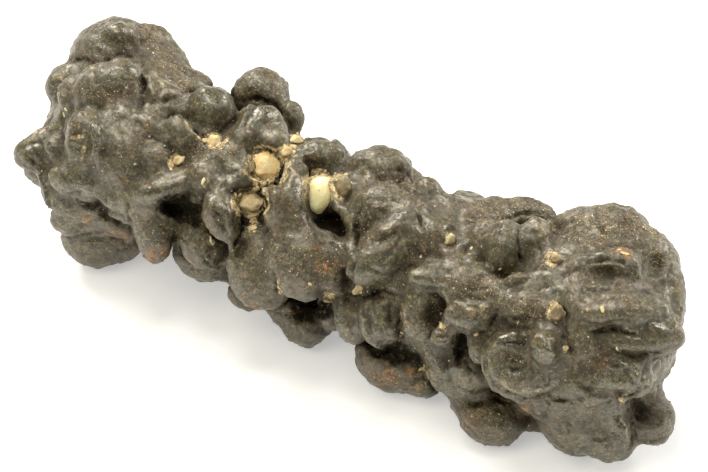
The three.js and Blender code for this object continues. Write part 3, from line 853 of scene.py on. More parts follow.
# %% Strokes of the left end
LEFT_STROKES = """
crease .55 .75 6.6:6.3 7.6:5.8 8.5:5.9 9.3:6.5 10:6.5 10.8:6.2 11.5:5.7 12.4:5.45 13.3:5.6 14:6.3
step .35 .3 14:6 13.3:5.5 12.4:5.3 11.5:5.5 10.8:6 10:6.3 9.2:6.3 8.5:5.7 7.6:5.6
crease .3 .28 8.9:2.7 9.8:2.4 10.9:2.35 12.1:2.1
groove .35 .25 12.5:2 12.8:3.2 13.2:4.5 13.8:5.6
groove .3 .18 13.9:2.3 13.8:3.4 14.4:4.6
step .25 .3 7.9:5.9 7:6.5 6.1:7.5 5.8:8.8 6.2:9.9 6.9:10.6
ridge .18 .22 7.6:6 6.4:6.9 5.85:8 5.9:9.3 6.6:10.2 6.9:10.9
ridge .65 .4 13.4:6.9 12.4:6.6 11.2:7 10.2:7.2 9.2:7.8 8.6:8.2
groove 1.1 .35 8.6:9.8 9.8:9.6 11.2:9.4 12.6:9.4 13.6:9.6
crease .5 .6 14.2:5.8 14.4:7.2 14.3:8.8 14.3:10 13.9:11.2
ridge .6 .28 15:7.2 15:8.6 15.2:10
crease .4 .45 16.2:10.3 17.2:9.8 18.2:9.6
ridge .25 .2 14.6:7.2 15.8:7.6 16.6:8.4 17.3:9.2
groove .3 .2 15.6:4.4 16.8:5.2 17.8:6.4 19:7.8
groove .3 .22 14.6:5.6 16:6.6 17.4:8 18.6:8.8
crease .45 .4 7.2:11.2 8:10.6 9:10.4 10.4:11 11.8:10.8 12.8:11.4
ridge .35 .3 7.9:10.2 7.4:11 7.1:12.4 6.9:13.8 6.9:15
crease .35 .4 6.4:11.4 6.1:12.8 6.2:14.6 6.4:16.2
ridge .5 .55 9.3:12.4 9.9:13.2 10:14.4 9.6:15.4 8.8:16.3 7.8:16.6
crease .4 .45 8.2:15.6 8.9:14.9 9:14 8.6:13.2
ridge .22 .25 7.4:14 8:13.8 8.5:14.3 8.3:15.2 7.7:15.8
crease .4 .35 10.6:12.6 10.5:14 10.4:15.4 10.2:16.8
groove .13 .12 10.9:12.8 10.9:14.6 10.8:16.4
groove .13 .12 11.4:12.9 11.4:14.8 11.2:16.6
groove .13 .12 11.9:13.2 11.9:14.8 11.7:16.2
ridge .2 .25 2.3:14.6 3.1:13.7 4:13.2 5:12.9 5.8:12.5
step .25 .3 4.9:21 4.6:19.4 4.3:18 4.1:16.9 3.2:16.1 2.4:15.4
crease .4 .45 3.9:14 4.1:15.2 4.2:16.4
groove .35 .3 5.9:14.6 5.8:16.4 5.6:18.2 5.7:20
groove .7 .9 6.6:19.9 7.8:19.7 8.8:20 9.6:20.6
groove .75 1.1 9.2:20.4 10.2:21.2 11.2:21.7 12.4:22.3
step .22 .35 12.9:24.7 12:24.2 11:23.9 10.2:23.4 9.4:23.3 8.4:23.6 7.2:23.9 6.2:23.8 5.5:23.2
crease .4 .45 12.6:19.4 13:20.6 12.8:21.8 13.1:23.4 13.4:24.4
ridge .2 .15 12.4:20.4 13.2:21.4 14.2:22.3
crease .45 .5 15.6:19.9 16.6:20.3 17.8:20 18.8:19.6 19.8:19.4
crease .35 .3 13:16.6 14.4:16.7 15.4:17.4 17:17.8 18.6:17.4
crease .35 .35 14:13.9 15.4:13.8 16.4:14 17.2:15 17.6:15.8
ridge .35 .25 15.8:13.6 16.8:13.8 17.8:14.8 18.2:15.2
ridge .15 .15 14.4:16.6 15.6:17.2 16.6:17.6 17.8:17.3 18.6:16.8
crease .45 .55 18.2:11.2 18.8:12.4 19.8:13.4 21.2:13.6 22.6:12.9 23.5:11.6 23.7:10.4
crease .3 .35 18.4:10.8 18.9:9.6 19.8:8.8 21:8.4 22.4:8.8
ridge .3 .25 18.4:23.4 19.2:24.4 20.2:25.6 21.4:26.4 22.4:26.7
step .25 .35 22.8:26.7 21.4:26.7 20.2:26 19.2:24.8 18.4:23.8 17.4:23.8
groove .3 .3 20.7:24.8 20.9:25.6 21:26.1
crease .35 .4 17:20.6 17.6:22.2 17.4:23.8 17.1:25.4
"""

# %% Strokes of the neck
NECK_STROKES = """
crease .3 .55 25.9:9.9 25.3:10.8 24.8:11.6 24.4:12.6
ridge .35 .4 25.1:10.5 24.6:11.4 24.3:12.2
crease .45 .5 23.7:10.2 25:10 26.4:10 27.4:10.4 28.4:11.2 29:12.4 29.4:13.4
crease .4 .45 24:13 24.2:14.4 24.9:15.4 26:15 27.6:15.3 29:14.4
ridge .28 .3 29.2:16 30.2:15.6 31.4:15.1 32:14.3
groove .35 .4 29.4:15 30.4:14.8 31.2:14.5
groove .35 .35 29.6:16.4 30.8:16.2 31.8:16.5
crease .25 .28 32.3:14.2 32:15.2 32.3:16.2 32.7:17
crease .35 .45 31.6:17.3 32.8:17.4 34.2:17.4
crease .35 .4 22:15.2 23.2:15.2 24:16 25.2:17.4 25.6:18.4
crease .35 .4 21.4:15.4 22.2:16.6 22.4:18 22:19.2
crease .3 .35 19:16.4 19.4:17.8 20.4:18.9 21.4:19.4
ridge .22 .2 19.8:17.4 20.5:17.1 21:17.7 20.8:18.5 20:18.7
crease .35 .45 22.6:17.4 23.6:17.2 24.4:16.6
crease .45 .5 23:19.3 24:19.2 24.6:18.9 25.6:18.8
crease .45 .6 21.2:20.8 21.9:21.8 22.4:22.8 22.7:23.6
ridge .3 .35 21.1:19.9 21.2:20.9 21.3:21.8
ridge .35 .4 22.2:20.6 22.9:21.6 23.2:22.6 23.1:23.4
ridge .16 .2 19.9:20.6 20.1:22 20.7:23.4 21.6:24.6
crease .4 .6 24.2:21.6 24.3:23 23.6:24.4 22.8:25.6
crease .35 .5 26.2:17.8 26:19.4 25.9:21.2 26.3:22.8
ridge .18 .22 26.6:17.6 26.4:19.2 26.3:20.8 26.6:22.4
ridge .28 .45 27.4:18.6 27.2:19.4 27:20.1
groove .28 .35 27.9:17.8 27.9:19.4 27.7:21
ridge .7 .3 28.9:18.6 29.3:19.8 29.8:21 30.4:22.4
groove .35 .25 28.3:21.4 29:22.6 29.9:23.4
ridge .18 .25 28.4:16.9 29.4:17.1 30.2:18.2 30.6:19.6 30.9:21
crease .35 .4 30.6:21.6 31.4:22.6 31.9:23.8 32.6:24.6
crease .4 .55 26.9:27.3 27.4:28.1 27.9:29.4
step .18 .22 25.8:29.6 24.6:29 23.8:29.8
step .18 .22 23.9:30.6 25:31.2 25.7:30.9 25.9:29.9
groove .5 .25 28.4:24 28.6:26 28.4:28
crease .4 .45 26.9:31.2 28:31.6 29.4:32 30.4:31.6 30.6:30.6
crease .45 .6 30:30.5 31.2:30.4 32:30.7 33:30.3 34:29.6
groove .4 .4 30.9:31.8 31.6:32.4 32.4:33.2 33.4:33.6
crease .6 .7 36:19.6 35.8:21.2 35.7:23 35.6:25 35.1:27 34.7:28.6 34:29.6
crease .35 .4 34.2:24 34.2:25.4 34:27 33.6:28.6
"""

# %% Strokes of the middle
MIDDLE_STROKES = """
crease .35 .45 35.8:19 36.8:18.5 38:18.3 39.4:18.3 40.3:17.9 41:17.3
step .22 .28 40.8:17.2 40:17.7 39:18 37.6:18.1 36.4:18.4
crease .28 .35 38.8:17.2 40:17.1 40.9:17.5 41.5:18.6 41.3:19.8
groove .25 .25 39.6:18 39.9:18.8 40.6:19.3 41.3:19
groove .35 .28 38:15.2 38.4:16.2 38.2:17.2
ridge .2 .16 36.2:16.8 36.8:17.4 37.8:17.6 38.6:17.2
crease .35 .35 41.9:17.8 42:19 41.6:20.4 41:21.2
crease .35 .4 36.4:20 37.8:19.8 39.4:20 40.6:20.4
ridge .45 .45 37.2:20.9 38:20.6 38.9:20.6
crease .35 .4 37:21.9 38.4:22 39.4:21.8 40.2:21.2
ridge .35 .4 37.6:23.6 38.6:23.1 39.6:22.5
crease .35 .45 37:24.4 38.2:23.9 39.2:23.4 40:22.9
ridge .38 .45 37.2:25.7 38.1:25 38.9:24.2
crease .4 .4 38.2:26.2 39.2:25.2 39.8:24.2 40:23.2
ridge .35 .28 40.3:23.4 40.6:24.6 40.5:25.6
crease .35 .4 36.6:26.6 38:27.4 39.8:27.3 41:26.5 42.2:26.2
crease .35 .6 41.8:21.4 42.1:22.4 42.2:23.2
crease .4 .4 44.6:23 45.4:22.6 46.2:22.9
crease .35 .35 41.2:24.4 42.2:25.4 43.4:25.7 44.6:25.4 45.6:24.9
ridge .45 .4 41:27.8 42:27.7 43.2:27.8
crease .3 .38 40.5:27.4 41:28.4 42.2:29 43.6:29 44.8:28.5
crease .3 .35 41.6:26.8 42.8:26.4 44:26.8 45:27.4
crease .45 .55 34.2:30 35.2:29.4 36.4:29.6 38:29 39.4:29.3 40.4:29.9
crease .45 .55 36.9:30.4 36.7:31.4 36.7:32.6 37.1:33.6
ridge .3 .3 36.5:29.9 36.2:30.9 35.8:31.9
ridge .3 .35 37.7:30.4 38.2:31.4 38.4:32.4
crease .35 .4 38.9:30.2 39.1:31.4 39:32.8
crease .45 .55 39.8:29.8 39.9:31.2 40:32.8 40:34
ridge .22 .22 40.3:30.4 40.4:31.6 40.4:32.8
ridge .2 .22 40.6:29.7 42:29.5 43.4:29.8 44:30.6
ridge .35 .55 45.6:32.7 45.4:33.5 44.6:34.2 43.6:34.2 42.9:33.8
crease .3 .45 44.9:32.5 44.9:33.2 44.3:33.7 43.5:33.6
crease .55 .8 36.6:35 37.6:35.5 38.6:35.1 39.6:34.2 40.8:34.8 41.8:35.8 42.2:37
ridge .18 .25 41.8:33.8 42.6:35 42.9:36.4 43.2:37.8 44:39
crease .3 .35 41:38.6 42.2:37.4 43:38.6 43.8:39.6
crease .6 .7 45.8:33.4 45.8:34.6 45.9:35.8
ridge .55 .45 44.8:37 45.6:36.9 46.2:36.4
crease .35 .4 46.6:35.8 47.2:37.2 47:38.6
ridge .2 .2 45:30.2 46.2:30.4 47.2:30.2
ridge .22 .26 46.2:30.8 47.4:31 48.6:31.6 49:32.1
ridge .18 .2 46.8:30.1 47.8:30.5 48.8:31
crease .4 .5 44.6:33 45.8:33 47.2:33.5 48.4:33.4 49.2:33
crease .4 .5 49.4:30.6 49.4:31.6 49.2:32.8
crease .3 .3 44.4:29.6 45.6:29.4 47:29.6 48.6:30
"""

# %% Strokes of the right half
RIGHT_STROKES = """
crease .35 .45 46:21 47.2:21.6 48.8:21.8 50.4:21.9 52:21.4 53.8:21.1 55.4:21.7
ridge .15 .18 46.2:21.4 47.6:21.9 49.4:22.1 50.6:22
ridge .18 .25 54:21.3 54.8:22.4 55.6:23.6
crease .4 .5 47:24.2 47.9:23.7 48.8:23 49.8:22.5 51:22.2
ridge .2 .2 47.6:24 48.4:23.3 49.4:22.6
crease .4 .65 52:22.2 51.9:23.6 52.1:25.2 52.2:26.6
crease .3 .4 53:23 53.8:24.2 54.2:25.4 53.9:26.2
ridge .25 .28 53.6:22.4 54.4:23.6 54.9:24.8
crease .4 .45 48.7:24 48.3:25.4 48.7:26.8 49.8:27.6 50.8:27.4
crease .35 .45 50.4:28.4 51.6:28.5 52.8:28 52.9:27
crease .35 .35 53:26.9 54.2:26.8 55.4:27
crease .35 .35 50.8:29 52.4:28.9 54:29 55.4:28.4
groove .6 .45 56:21.6 55.4:23.2 55:24.6
crease .6 .55 56.6:28.6 55.9:30 56.5:31.6 56.2:33 56.9:34.6 57.3:36.6 56.6:38.6
crease .3 .35 50:31.7 51.6:32 53:31.9 54.4:32.3
crease .3 .35 50.2:32.7 51.6:32.9 53.2:32.7
groove .3 .25 50.4:30.2 51.8:30 53.2:30.4
ridge .42 .5 49.4:33.9 50.2:33.4 51.2:33.4 52:33.8
crease .35 .5 50:34.4 51:34.1 52.2:34.4 52.8:33.6
ridge .6 .45 53.5:33.2 54.2:34.2 55.2:35.2 55.9:35.6
crease .35 .4 52.4:34.8 53.6:35.2 54:36 55.2:36.3
ridge .3 .3 50:36 50.6:35.2 51.6:35.3 52.8:35.8 53.2:36.8 52.4:37.6
crease .45 .5 50:36.4 50.8:36.8 51.6:37.2 52.2:37
ridge .2 .2 49.4:37.9 50.8:38.8 52.6:39.1 54.4:38.9 55.4:38.2
crease .4 .6 48.6:35 48.3:36.4 48.8:37.8 50.2:39 51.8:39.8 53.6:39.9 55.2:39.2 56.2:38
crease .45 .55 46:39.9 47.2:40.7 48.4:40.3 49.4:39.9 50.4:40.2 51.4:40.2
crease .35 .4 49.6:40.4 50:41.4 51:41.9 52:42
crease .28 .3 46.2:42.3 47.2:43.2 48.4:43.9
crease .35 .45 53:40.2 53.3:41.4 54.4:41.9 54.8:40.8
crease .35 .35 46.8:36.9 47.8:37.3 48.6:38.4
"""

# %% Strokes of the right end
RIGHT_END_STROKES = """
crease .4 .75 57.6:25.2 58.6:24.9 59.8:25.1 60.8:24.9 61.8:24.4 62.8:24.5 63.8:25.2
ridge .38 .45 58.5:25.8 59.4:25.5 60.2:25.6 61:25.3 61.7:25.3
ridge .35 .45 63.3:25.4 63.8:26.2 64.2:27.2
crease .4 .4 64.4:25 64.5:26.4 64.6:27.6
crease .45 .55 58.6:26.4 59.6:26 61:26.2 62.2:26 62.8:26.8
ridge .28 .3 59:28.5 60:28.6 60.8:28.4
crease .3 .4 58.2:28.7 59.2:28.9 60.4:29.1 61.4:28.4
ridge .35 .6 67.2:26.2 66.7:27 66:27.8 65:28.1
ridge .3 .45 66.2:27.8 66.6:28.8 66.7:29.6
ridge .25 .35 66.5:29.4 66.8:30.6 67.3:32 67.7:33.4
groove .3 .3 66:29.8 66.2:31.2 66.7:32.6
ridge .12 .15 67.8:27 67.6:28.8 68:30.8 68:33
ridge .14 .16 56.4:21.8 57.6:21.9 58.8:21.9 59.8:22.6 61:22.6
ridge .14 .16 62.6:21.6 64:22.6 65.4:23.3 66.6:24
ridge .14 .14 60:24 60.8:23 61.8:22.7 62.6:23.4
crease .3 .3 57.8:20.9 58.6:22 60:22.8 60.6:23.8
crease .3 .3 62:21 62.8:22.4 64:23.6 65.6:24.2
crease .4 .45 56.4:24 57.2:23.9 58.2:24.2
crease .35 .45 57:28.6 58.2:29.2 60:29.8 62:29.6 64:29.2 65.6:29
ridge .3 .3 57.4:32.5 58.8:32 60.6:31.9 62.4:31.8 63.6:32
crease .4 .8 58.8:33.4 60:33.1 61.4:33 62.8:33.3 64.2:33.8
ridge .45 .5 64.8:32.6 65.6:32.6 66.4:32.9
crease .45 .65 60.4:34 61.4:34.9 62.6:35.4 63.8:35.7 65.2:35.5 66.4:35 67.4:34.4
ridge .35 .45 62.4:36.3 63.2:37.1 63.8:38
crease .28 .45 60.8:36.1 62:36.7 62.8:37.5 63.5:38.6
crease .3 .35 64.6:36 64.5:37.2 64.2:38.2 64.9:38.9
crease .45 .6 60.2:39.5 61.4:39.9 62.8:39.8 64.2:39 65.2:38.4
ridge .18 .25 60.6:39.3 61.8:39.6 63:39.4 64:38.8
crease .5 .6 57.2:37.2 58:38.6 59:39.3 60:39.4
crease .4 .45 54.8:40 56.4:40.3 57.6:39.9 58.6:39.9
crease .35 .4 56.4:40.4 56.3:41.6 56.9:42.8 56.8:43.8
ridge .5 .4 60.5:40.5 61.2:41.5 62:42.4 62.6:43.2
groove .14 .12 61.8:42 61.4:43.2 61.4:44.4
groove .14 .12 62.3:42.4 61.9:43.6 61.8:44.8
crease .28 .3 58.6:44.1 59.4:43.8 60.2:44
crease .35 .35 57.6:45.4 58.6:44.8 60:44.5 61.6:44.3
step .2 .25 57.6:45.6 56.6:44.9 55.4:44
crease .45 .5 62.6:39.9 63:41.4 63.6:42.8 63.4:44.2 62.8:45.4
groove .45 .5 63.4:40 63.9:41.2 64.2:42.4
groove .18 .2 64.6:39.4 64.9:40.8 65:42.2
step .2 .22 66.6:43.8 65.4:44.2 63.8:44.4
"""
all_strokes = read_table(LEFT_STROKES + NECK_STROKES + MIDDLE_STROKES + RIGHT_STROKES + RIGHT_END_STROKES)
strokes = [(kind, width, height, np.reshape(line, (-1, 2))) for kind, width, height, *line in all_strokes]
print(len(strokes), "strokes")

# %% Stamps: kind, height, across:down, half width:half height, turn
STAMPS = """
bump .35 11.6:3.2 1.5:.9 0, bump .25 9.4:4.4 1.2:1 20, bump .3 12.7:6.7 .9:.6 10, knob .3 12.6:11.1 .8:.7 0
pit .5 7.5:13.4 .55:.35 30, bump .4 7.9:12.3 .4:.7 -10, pit .45 8:14.8 .45:.5 0, bump .4 7:15.6 .5:.7 0
pit .35 3.3:14.4 .7:.4 30, bump .4 5.2:14.8 .8:1 0, bump .3 2.9:15.3 .6:.5 0, pit .2 16.8:14.6 .8:.5 -40
pit .4 8.2:20.7 1.2:.5 0, bump .25 8:22 1.6:.5 0, pit .3 17.4:10.2 .9:.4 0, bump .3 20.4:9.3 .7:.5 25
bump .3 22.6:9.6 .4:.9 35, pit .45 22:12.8 1:.5 20, bump .45 26:11.4 1.1:1 0, bump .25 24.9:8.6 1:.6 10
knob .2 20.3:18 .9:.8 0, bump .3 23.2:18.2 .9:.6 15, bump .35 20.8:21 .4:.6 0, bump .25 29.2:19.6 .8:1.4 8
bump .25 30.8:23.6 .9:.9 0, pit .35 30.4:31.6 .8:.5 20, bump .3 36.9:15.9 1.3:1.1 20
bump .3 36.8:17.7 .6:.4 0, bump .25 38.3:17.5 .5:.4 0, knob .3 40.7:18.7 .7:.7 0, pit .5 37.2:32 .5:.9 0
bump .3 35:31 .7:.9 10, bump .25 35.4:19.8 .4:.8 -20, bump .3 35.2:22.9 .5:.7 -35, bump .25 35:25.4 .5:.6 0
bump .25 41.6:31.2 .6:1.1 10, pit .35 45.3:22.8 .6:.4 0, bump .25 50.2:24.6 1:1.4 -10
bump .35 51.6:27.8 1:.5 5, bump .2 53.5:28 .9:.4 10, pit .8 51.4:36.3 1.7:1.2 -20
bump .3 54.6:34.9 1.1:1 -20, pit .45 44:32.9 .5:.5 0, knob .3 52.3:40.8 .9:1 0, pit .35 57.5:37.3 .5:.4 0
pit .45 59:39.3 .5:.4 0, bump .35 65.6:32.8 .9:.5 -5, bump .25 61.4:38.2 1.4:.9 -15
bump .2 47:31.8 1:.6 -10, bump .25 45.6:36.9 .8:.5 10, pit .5 64:41.2 .7:1.3 20, bump .2 59.8:44.6 1.4:.8 0
bump .2 52.6:37.6 1.2:.6 10, pit .3 31.6:33.2 .6:.5 0
"""
stamps = read_table(STAMPS)
print(len(stamps), "stamps")

# %% [markdown]
# ## Relief all round
#
# The far side needs the same wealth of form, but nobody looks at one crease of it in particular, so it can
# be grown by rule. Cell noise divides space into cells round scattered points. Swelling each cell's middle
# and sinking its borders gives the packed, rounded lumps that this mineral grows in. A slow wave bends
# everything a little, and fine noise roughens the skin, less where handling has worn it.


# %% Kinds of noise
def swelling(place):
    """1 in the middle of a cell, 0 on its border."""
    near, next_near = noise.voronoi(place + noise.noise_vector(place * 0.8) * 0.35)[0][:2]
    return min((next_near - near) / 0.55, 1.0) ** 0.6


def rough(place):
    return noise.fractal(place, 0.9, 2.1, 4)


def fold_lines(points, size, width, seed):
    """Thin lines that wander over the skin, where a noise changes sign; they fade in and out."""
    bent = points + noise_over(points, size * 0.6, noise.noise_vector, seed + 1) * (0.3 * size * mm)
    line = np.exp(-((noise_over(bent, size, noise.noise, seed) / width) ** 2))
    return line * np.clip(noise_over(points, size * 2.2, noise.noise, seed + 2) * 2.5 + 0.5, 0, 1)


print("noise ready")

# %% Zones on the best face: across:down, half width:half height, turn, amount
DUST = """
10.2:9.2 3.2:1 0 .8, 15:15 2.6:1.6 0 .5, 21.2:14.9 2.8:1.2 0 .9, 26.2:8.6 2.2:1.2 0 .8, 27:25.5 3.6:3.6 0 .4
31.6:26.6 2.4:2.8 0 .6, 39.4:18.2 2.6:1.4 0 .9, 36.8:22 1.8:3.6 0 .5, 44:25.8 3:2.2 0 .6
47.6:28.7 3:1.3 0 .9, 49:23.6 2:1.2 30 .5, 52.8:30.9 3:1.6 0 .9, 60.6:22.6 4.8:2 0 .9, 65.2:25.9 1.5:1.3 0 1
61.2:30.2 4.4:1.2 0 .8, 59:36.5 2:2 0 .6, 17.4:6.8 3.4:1.1 -48 1, 15:3.6 1.8:1.7 0 .9, 49.2:20.7 3:.9 0 .8
51.4:36.2 1.5:1 -20 .8, 53.2:20.6 2.6:.9 -15 .8, 3.6:17.4 1.6:1.6 0 .6, 29.4:23.6 2:1.6 0 .3
8.5:21 2.6:1.2 0 .4, 38.5:28.6 2.6:.8 0 .5, 57.6:27.6 1.4:2.2 0 .6, 48:41.6 2.6:1.8 0 .3
20.4:22.6 1:1.8 20 .4
"""
GOLD = """
17.6:7 3.2:.9 -48 1, 15.2:3.4 1.6:1.4 0 .7, 12.9:4 .5:1.8 -10 .7, 60.6:22.8 4.6:1.8 0 .9, 65:25.6 1.4:1 0 .8
50.6:20.6 4.4:.8 0 .7, 21.4:15 2.6:1 0 .7, 15:25.4 2.2:.7 0 .6, 37.4:23.2 1.8:3 0 .4, 31.8:25.6 2:2.4 0 .4
47.4:28.6 2.4:1.2 0 .5, 18.4:10 .6:1.2 0 .6, 52.4:31 2.6:1.2 0 .5, 10.8:9 2:.8 0 .4, 42.4:34.8 .5:2 -10 .6
"""
RUST = """
8.8:21.9 .7:.35 0 1.3, 12.2:23.7 1.5:.6 -20 .8, 15.2:25.4 2.1:.7 0 1, 25.6:30.8 .5:.35 0 .9
29.4:30.9 .6:.4 0 1.1, 31.4:24.9 .6:.35 0 .8, 32.6:26.6 1.3:.9 0 .6, 38.4:37.8 1.4:1.1 0 .9
41:37.4 1:.8 0 .7, 52.4:40.9 .8:.9 0 .8, 62.4:25.2 .75:.5 -20 1.6, 60:36.3 .6:.6 0 .5, 41.6:38.7 .7:.4 0 .6
15:3.1 .6:.35 0 .9, 31.5:15.7 .5:.6 0 .4, 12.6:24.2 1:.4 -20 .6, 5.4:17.4 .4:1.2 0 .4, 47.4:41.8 1.4:1 0 .3
24.5:30.4 1:.8 0 .35, 49.8:39.4 .6:.4 0 .8
"""
CHALK = """
26.8:16.8 1.9:1.5 20 .75, 24.9:20.4 1.6:1.1 0 .75, 33.9:18.8 1:1.4 0 .7, 27.8:17.9 1:.6 40 .8
31.8:17.9 1.4:.7 0 1, 30.5:18.8 .25:1 12 1, 25.3:21.9 .45:1.2 0 1, 23.9:19.7 .7:.4 0 1, 25.9:18.7 .5:.6 0 1
28.9:15 1:.5 30 1, 29.9:13.6 .8:.4 0 1, 18.9:12.8 .2:1.6 40 .9, 21.5:14.2 1.2:.7 0 .9
17.4:16.2 .9:.45 20 .9, 21.1:24 .3:.45 20 .9, 23.4:24.9 .6:.3 30 .6, 44.7:23.8 .4:.9 30 .8
44.2:32.6 .45:.5 0 .9, 55.3:25.9 .9:.7 0 .9, 55.4:31.1 .9:1.1 0 .9, 56.4:34.7 .35:.4 0 .9
62.2:40 .5:.3 0 .8, 42.4:37 .3:.3 0 .8, 40.2:33.4 .25:.5 0 .8, 35.6:29 .6:.5 0 .9, 32.9:29.8 .7:.5 0 .9
27.9:28.5 .22:.8 20 1, 7.5:13.6 .4:.25 30 .9, 8.4:14.9 .35:.5 0 .7, 34.4:17.5 .4:.3 0 .9
61.8:35 .25:.2 0 .9, 60.3:30.9 .25:.2 0 1, 41:32.7 .2:.3 0 .7
"""
SHADE = """
9.3:6.3 1.9:.3 -4 .4, 12.6:5.6 1.7:.3 8 .4, 14.3:7.8 .3:1.8 0 .6, 61.6:39.6 2.5:.35 6 .7, 57:40 1.7:.3 0 .7
63.6:35.5 2.6:.3 0 .6, 18.4:21.1 1.8:1 -20 1, 24.4:24.4 1.1:.8 38 .8, 33.2:22.6 1.4:1.5 0 1.2
46:34.6 .5:1.3 -8 .9, 43.4:31.4 .8:1.2 -12 .35, 60.6:27.2 1.9:.8 -4 .5, 39:35.2 2.2:.8 -22 .8
8.9:20.2 1.1:.6 -30 .7, 11.1:21.6 1.4:.6 -30 .7, 46.9:24.8 .9:.4 30 .4, 31.4:31 1.8:.9 0 .9
35.6:21.6 .5:2.4 0 .6, 46.4:22.9 1.2:.5 30 .6, 51:36.5 .7:.4 -20 .5, 40:34 .5:1.6 0 .6
34.6:28.4 .7:1.4 0 .6, 53.4:42.4 1.3:.8 0 .4, 65.3:26.3 1:.8 20 .5, 63.8:40.8 .6:1.5 20 .6
10.4:23.6 2:.4 10 .5, 17.8:24.2 .6:1.4 0 .5
"""
POLISH = """
20.9:9.6 2:1 0 1.2, 65.2:32.5 2.2:.9 -4 1.2, 62.9:36.9 1.8:.8 -45 1.2, 61.3:42 1:2.2 28 1.2
11.6:3.4 2:1.2 0 1, 50.6:34 1.8:.8 15 1.1, 63.8:26.8 .8:1.6 0 1, 26.2:11.6 1.3:1.3 0 1, 12:7.4 2.2:.8 18 1
9.4:14 .8:2 0 1, 5:14.9 1.3:1 0 .9, 59.2:25.4 1.4:.6 0 1, 8.6:18.2 3:1.1 0 .9, 15:24 1.1:1.1 0 .9
37.5:26.6 2.2:1 20 .9, 44.4:36 1.4:2.2 0 .9, 47.2:31.9 2.2:.9 0 .8, 52.6:37.8 3.2:1.2 0 .8
54.6:35 1.4:1.4 0 .9, 59.6:44.6 2.2:1 0 .9, 57.4:42.4 2:1.4 0 .6, 64:34.2 3.2:.8 0 .9, 61.2:38.1 2:.9 -12 .9
47.4:39 2.4:.7 0 .8, 65.4:42.8 1.2:1.6 0 .6, 21.2:10.6 1.6:1.4 0 .5, 30:20 1:2.2 0 .7, 22.3:21.6 1.4:2 25 .7
43.2:28.2 1.8:.6 0 .8, 50.2:25 1.6:2.2 0 .5, 36.6:33.2 2.6:1 0 .7, 11.6:3.4 1.6:1 0 .5, 33.4:15.8 1:1.2 0 .6
16.4:19 2.4:.7 18 .8, 46.5:36.6 1:.8 0 .6, 66.8:31 .8:2.4 0 .6
"""
ZONES = {"dust": DUST, "gold": GOLD, "rust": RUST, "chalk": CHALK, "shade": SHADE, "polish": POLISH}
zones = {name: read_table(table) for name, table in ZONES.items()}


def paint(seen, ovals):
    """The strongest of several soft ovals at each point."""
    amount = np.zeros(len(seen))
    for *oval, strength in ovals:
        reach = round_an_oval(seen, *oval)
        amount = np.maximum(amount, strength * np.clip(1.55 - reach * 1.1, 0, 1))
    return amount


def patchy(points, size, cover, seed):
    """Soft patches that cover about a share of the surface."""
    wave = noise_over(points, size, rough, seed)
    edge = np.quantile(wave, 1 - cover)
    return np.clip((wave - edge) / max(wave.std() * 0.8, 1e-6), 0, 1)


print({name: len(ovals) for name, ovals in zones.items()})

# %% Sculpt the skin
STROKE_SHARE = 0.55  # how much of a stroke's drawn height is used
MEAN_SWELL = 0.7  # the swelling at which the skin stays where it is
WEAR = 0.75  # how much of the fine relief is worn off the polished bosses
# Heights of the relief, in millimetres.
BIG_SWELL, SMALL_SWELL, SEEN_SWELL, SLOW_WAVE = 0.75, 0.24, 0.16, 0.22
GRAININESS, FOLD, FINE_FOLD, CRUST = 0.10, 0.11, 0.05, 0.16

lift = np.zeros(len(skin))
shaken = seen + wobble(skin, 0.26, 1.5) + wobble(skin, 0.11, 0.5)
for stroke in strokes:
    brush_stroke(lift, shaken, *stroke)
for kind, height, *oval in stamps:
    brush_stamp(lift, shaken, kind, height, oval)
lift *= seen_share * STROKE_SHARE * np.clip(1 + 1.1 * noise_over(skin, 1.4, noise.noise, 6.0), 0.15, 1.8)

hidden_share = 1 - seen_share
cells = noise_over(skin, 4.2, swelling, 1.0) - MEAN_SWELL
small_cells = noise_over(skin, 1.7, swelling, 2.0) - MEAN_SWELL
slow_wave = noise_over(skin, 4.5, noise.noise, 3.0)
folds, fine_folds = fold_lines(skin, 2.7, 0.07, 8.0), fold_lines(skin, 1.3, 0.08, 9.0)
crumbly = 0.6 + noise_over(skin, 0.6, noise.noise, 7.0)
worn = 1 - WEAR * seen_share * np.clip(paint(seen, zones["polish"]), 0, 1)
lift += hidden_share * (BIG_SWELL * cells + SMALL_SWELL * small_cells)
lift += seen_share * SEEN_SWELL * small_cells * worn + SLOW_WAVE * slow_wave
lift += GRAININESS * noise_over(skin, 1.5, rough, 4.0) * worn
lift -= (FOLD * folds + FINE_FOLD * fine_folds) * worn
lift += seen_share * CRUST * np.clip(paint(seen, zones["chalk"]), 0, 1) * crumbly
skin = skin + outward_normals(stone.data, pairs) * (lift * mm)[:, None]

# What stands above the packed model is pressed to half its height, and nothing goes under the floor.
top = cad_box[1][2]
skin[:, 2] = np.where(skin[:, 2] > top, top + (skin[:, 2] - top) * 0.5, np.maximum(skin[:, 2], 0))
move_points(stone.data, skin)
print("lifted by", round(float(lift.min()), 2), "to", round(float(lift.max()), 2), "mm")

# %% [markdown]
# ## Fewer faces where the skin is plain
#
# Even quads waste faces on smooth flanks. The Decimate modifier merges points where that changes the shape
# least, so the creases keep their sharpness while the count falls to what a part may hold.

# %% Thin the mesh
MOST_TRIANGLES = 190000
thin = stone.modifiers.new("thin", "DECIMATE")
thin.ratio = min(1.0, MOST_TRIANGLES / (2 * len(stone.data.polygons)))
settle(stone)
stone.data.shade_smooth()
skin, pairs = points_of(stone.data), edges_of(stone.data)
seen_share, seen = seen_mask(stone.data, pairs), seen_at(skin)
hidden_share = 1 - seen_share
print("stone:", len(stone.data.polygons), "faces")

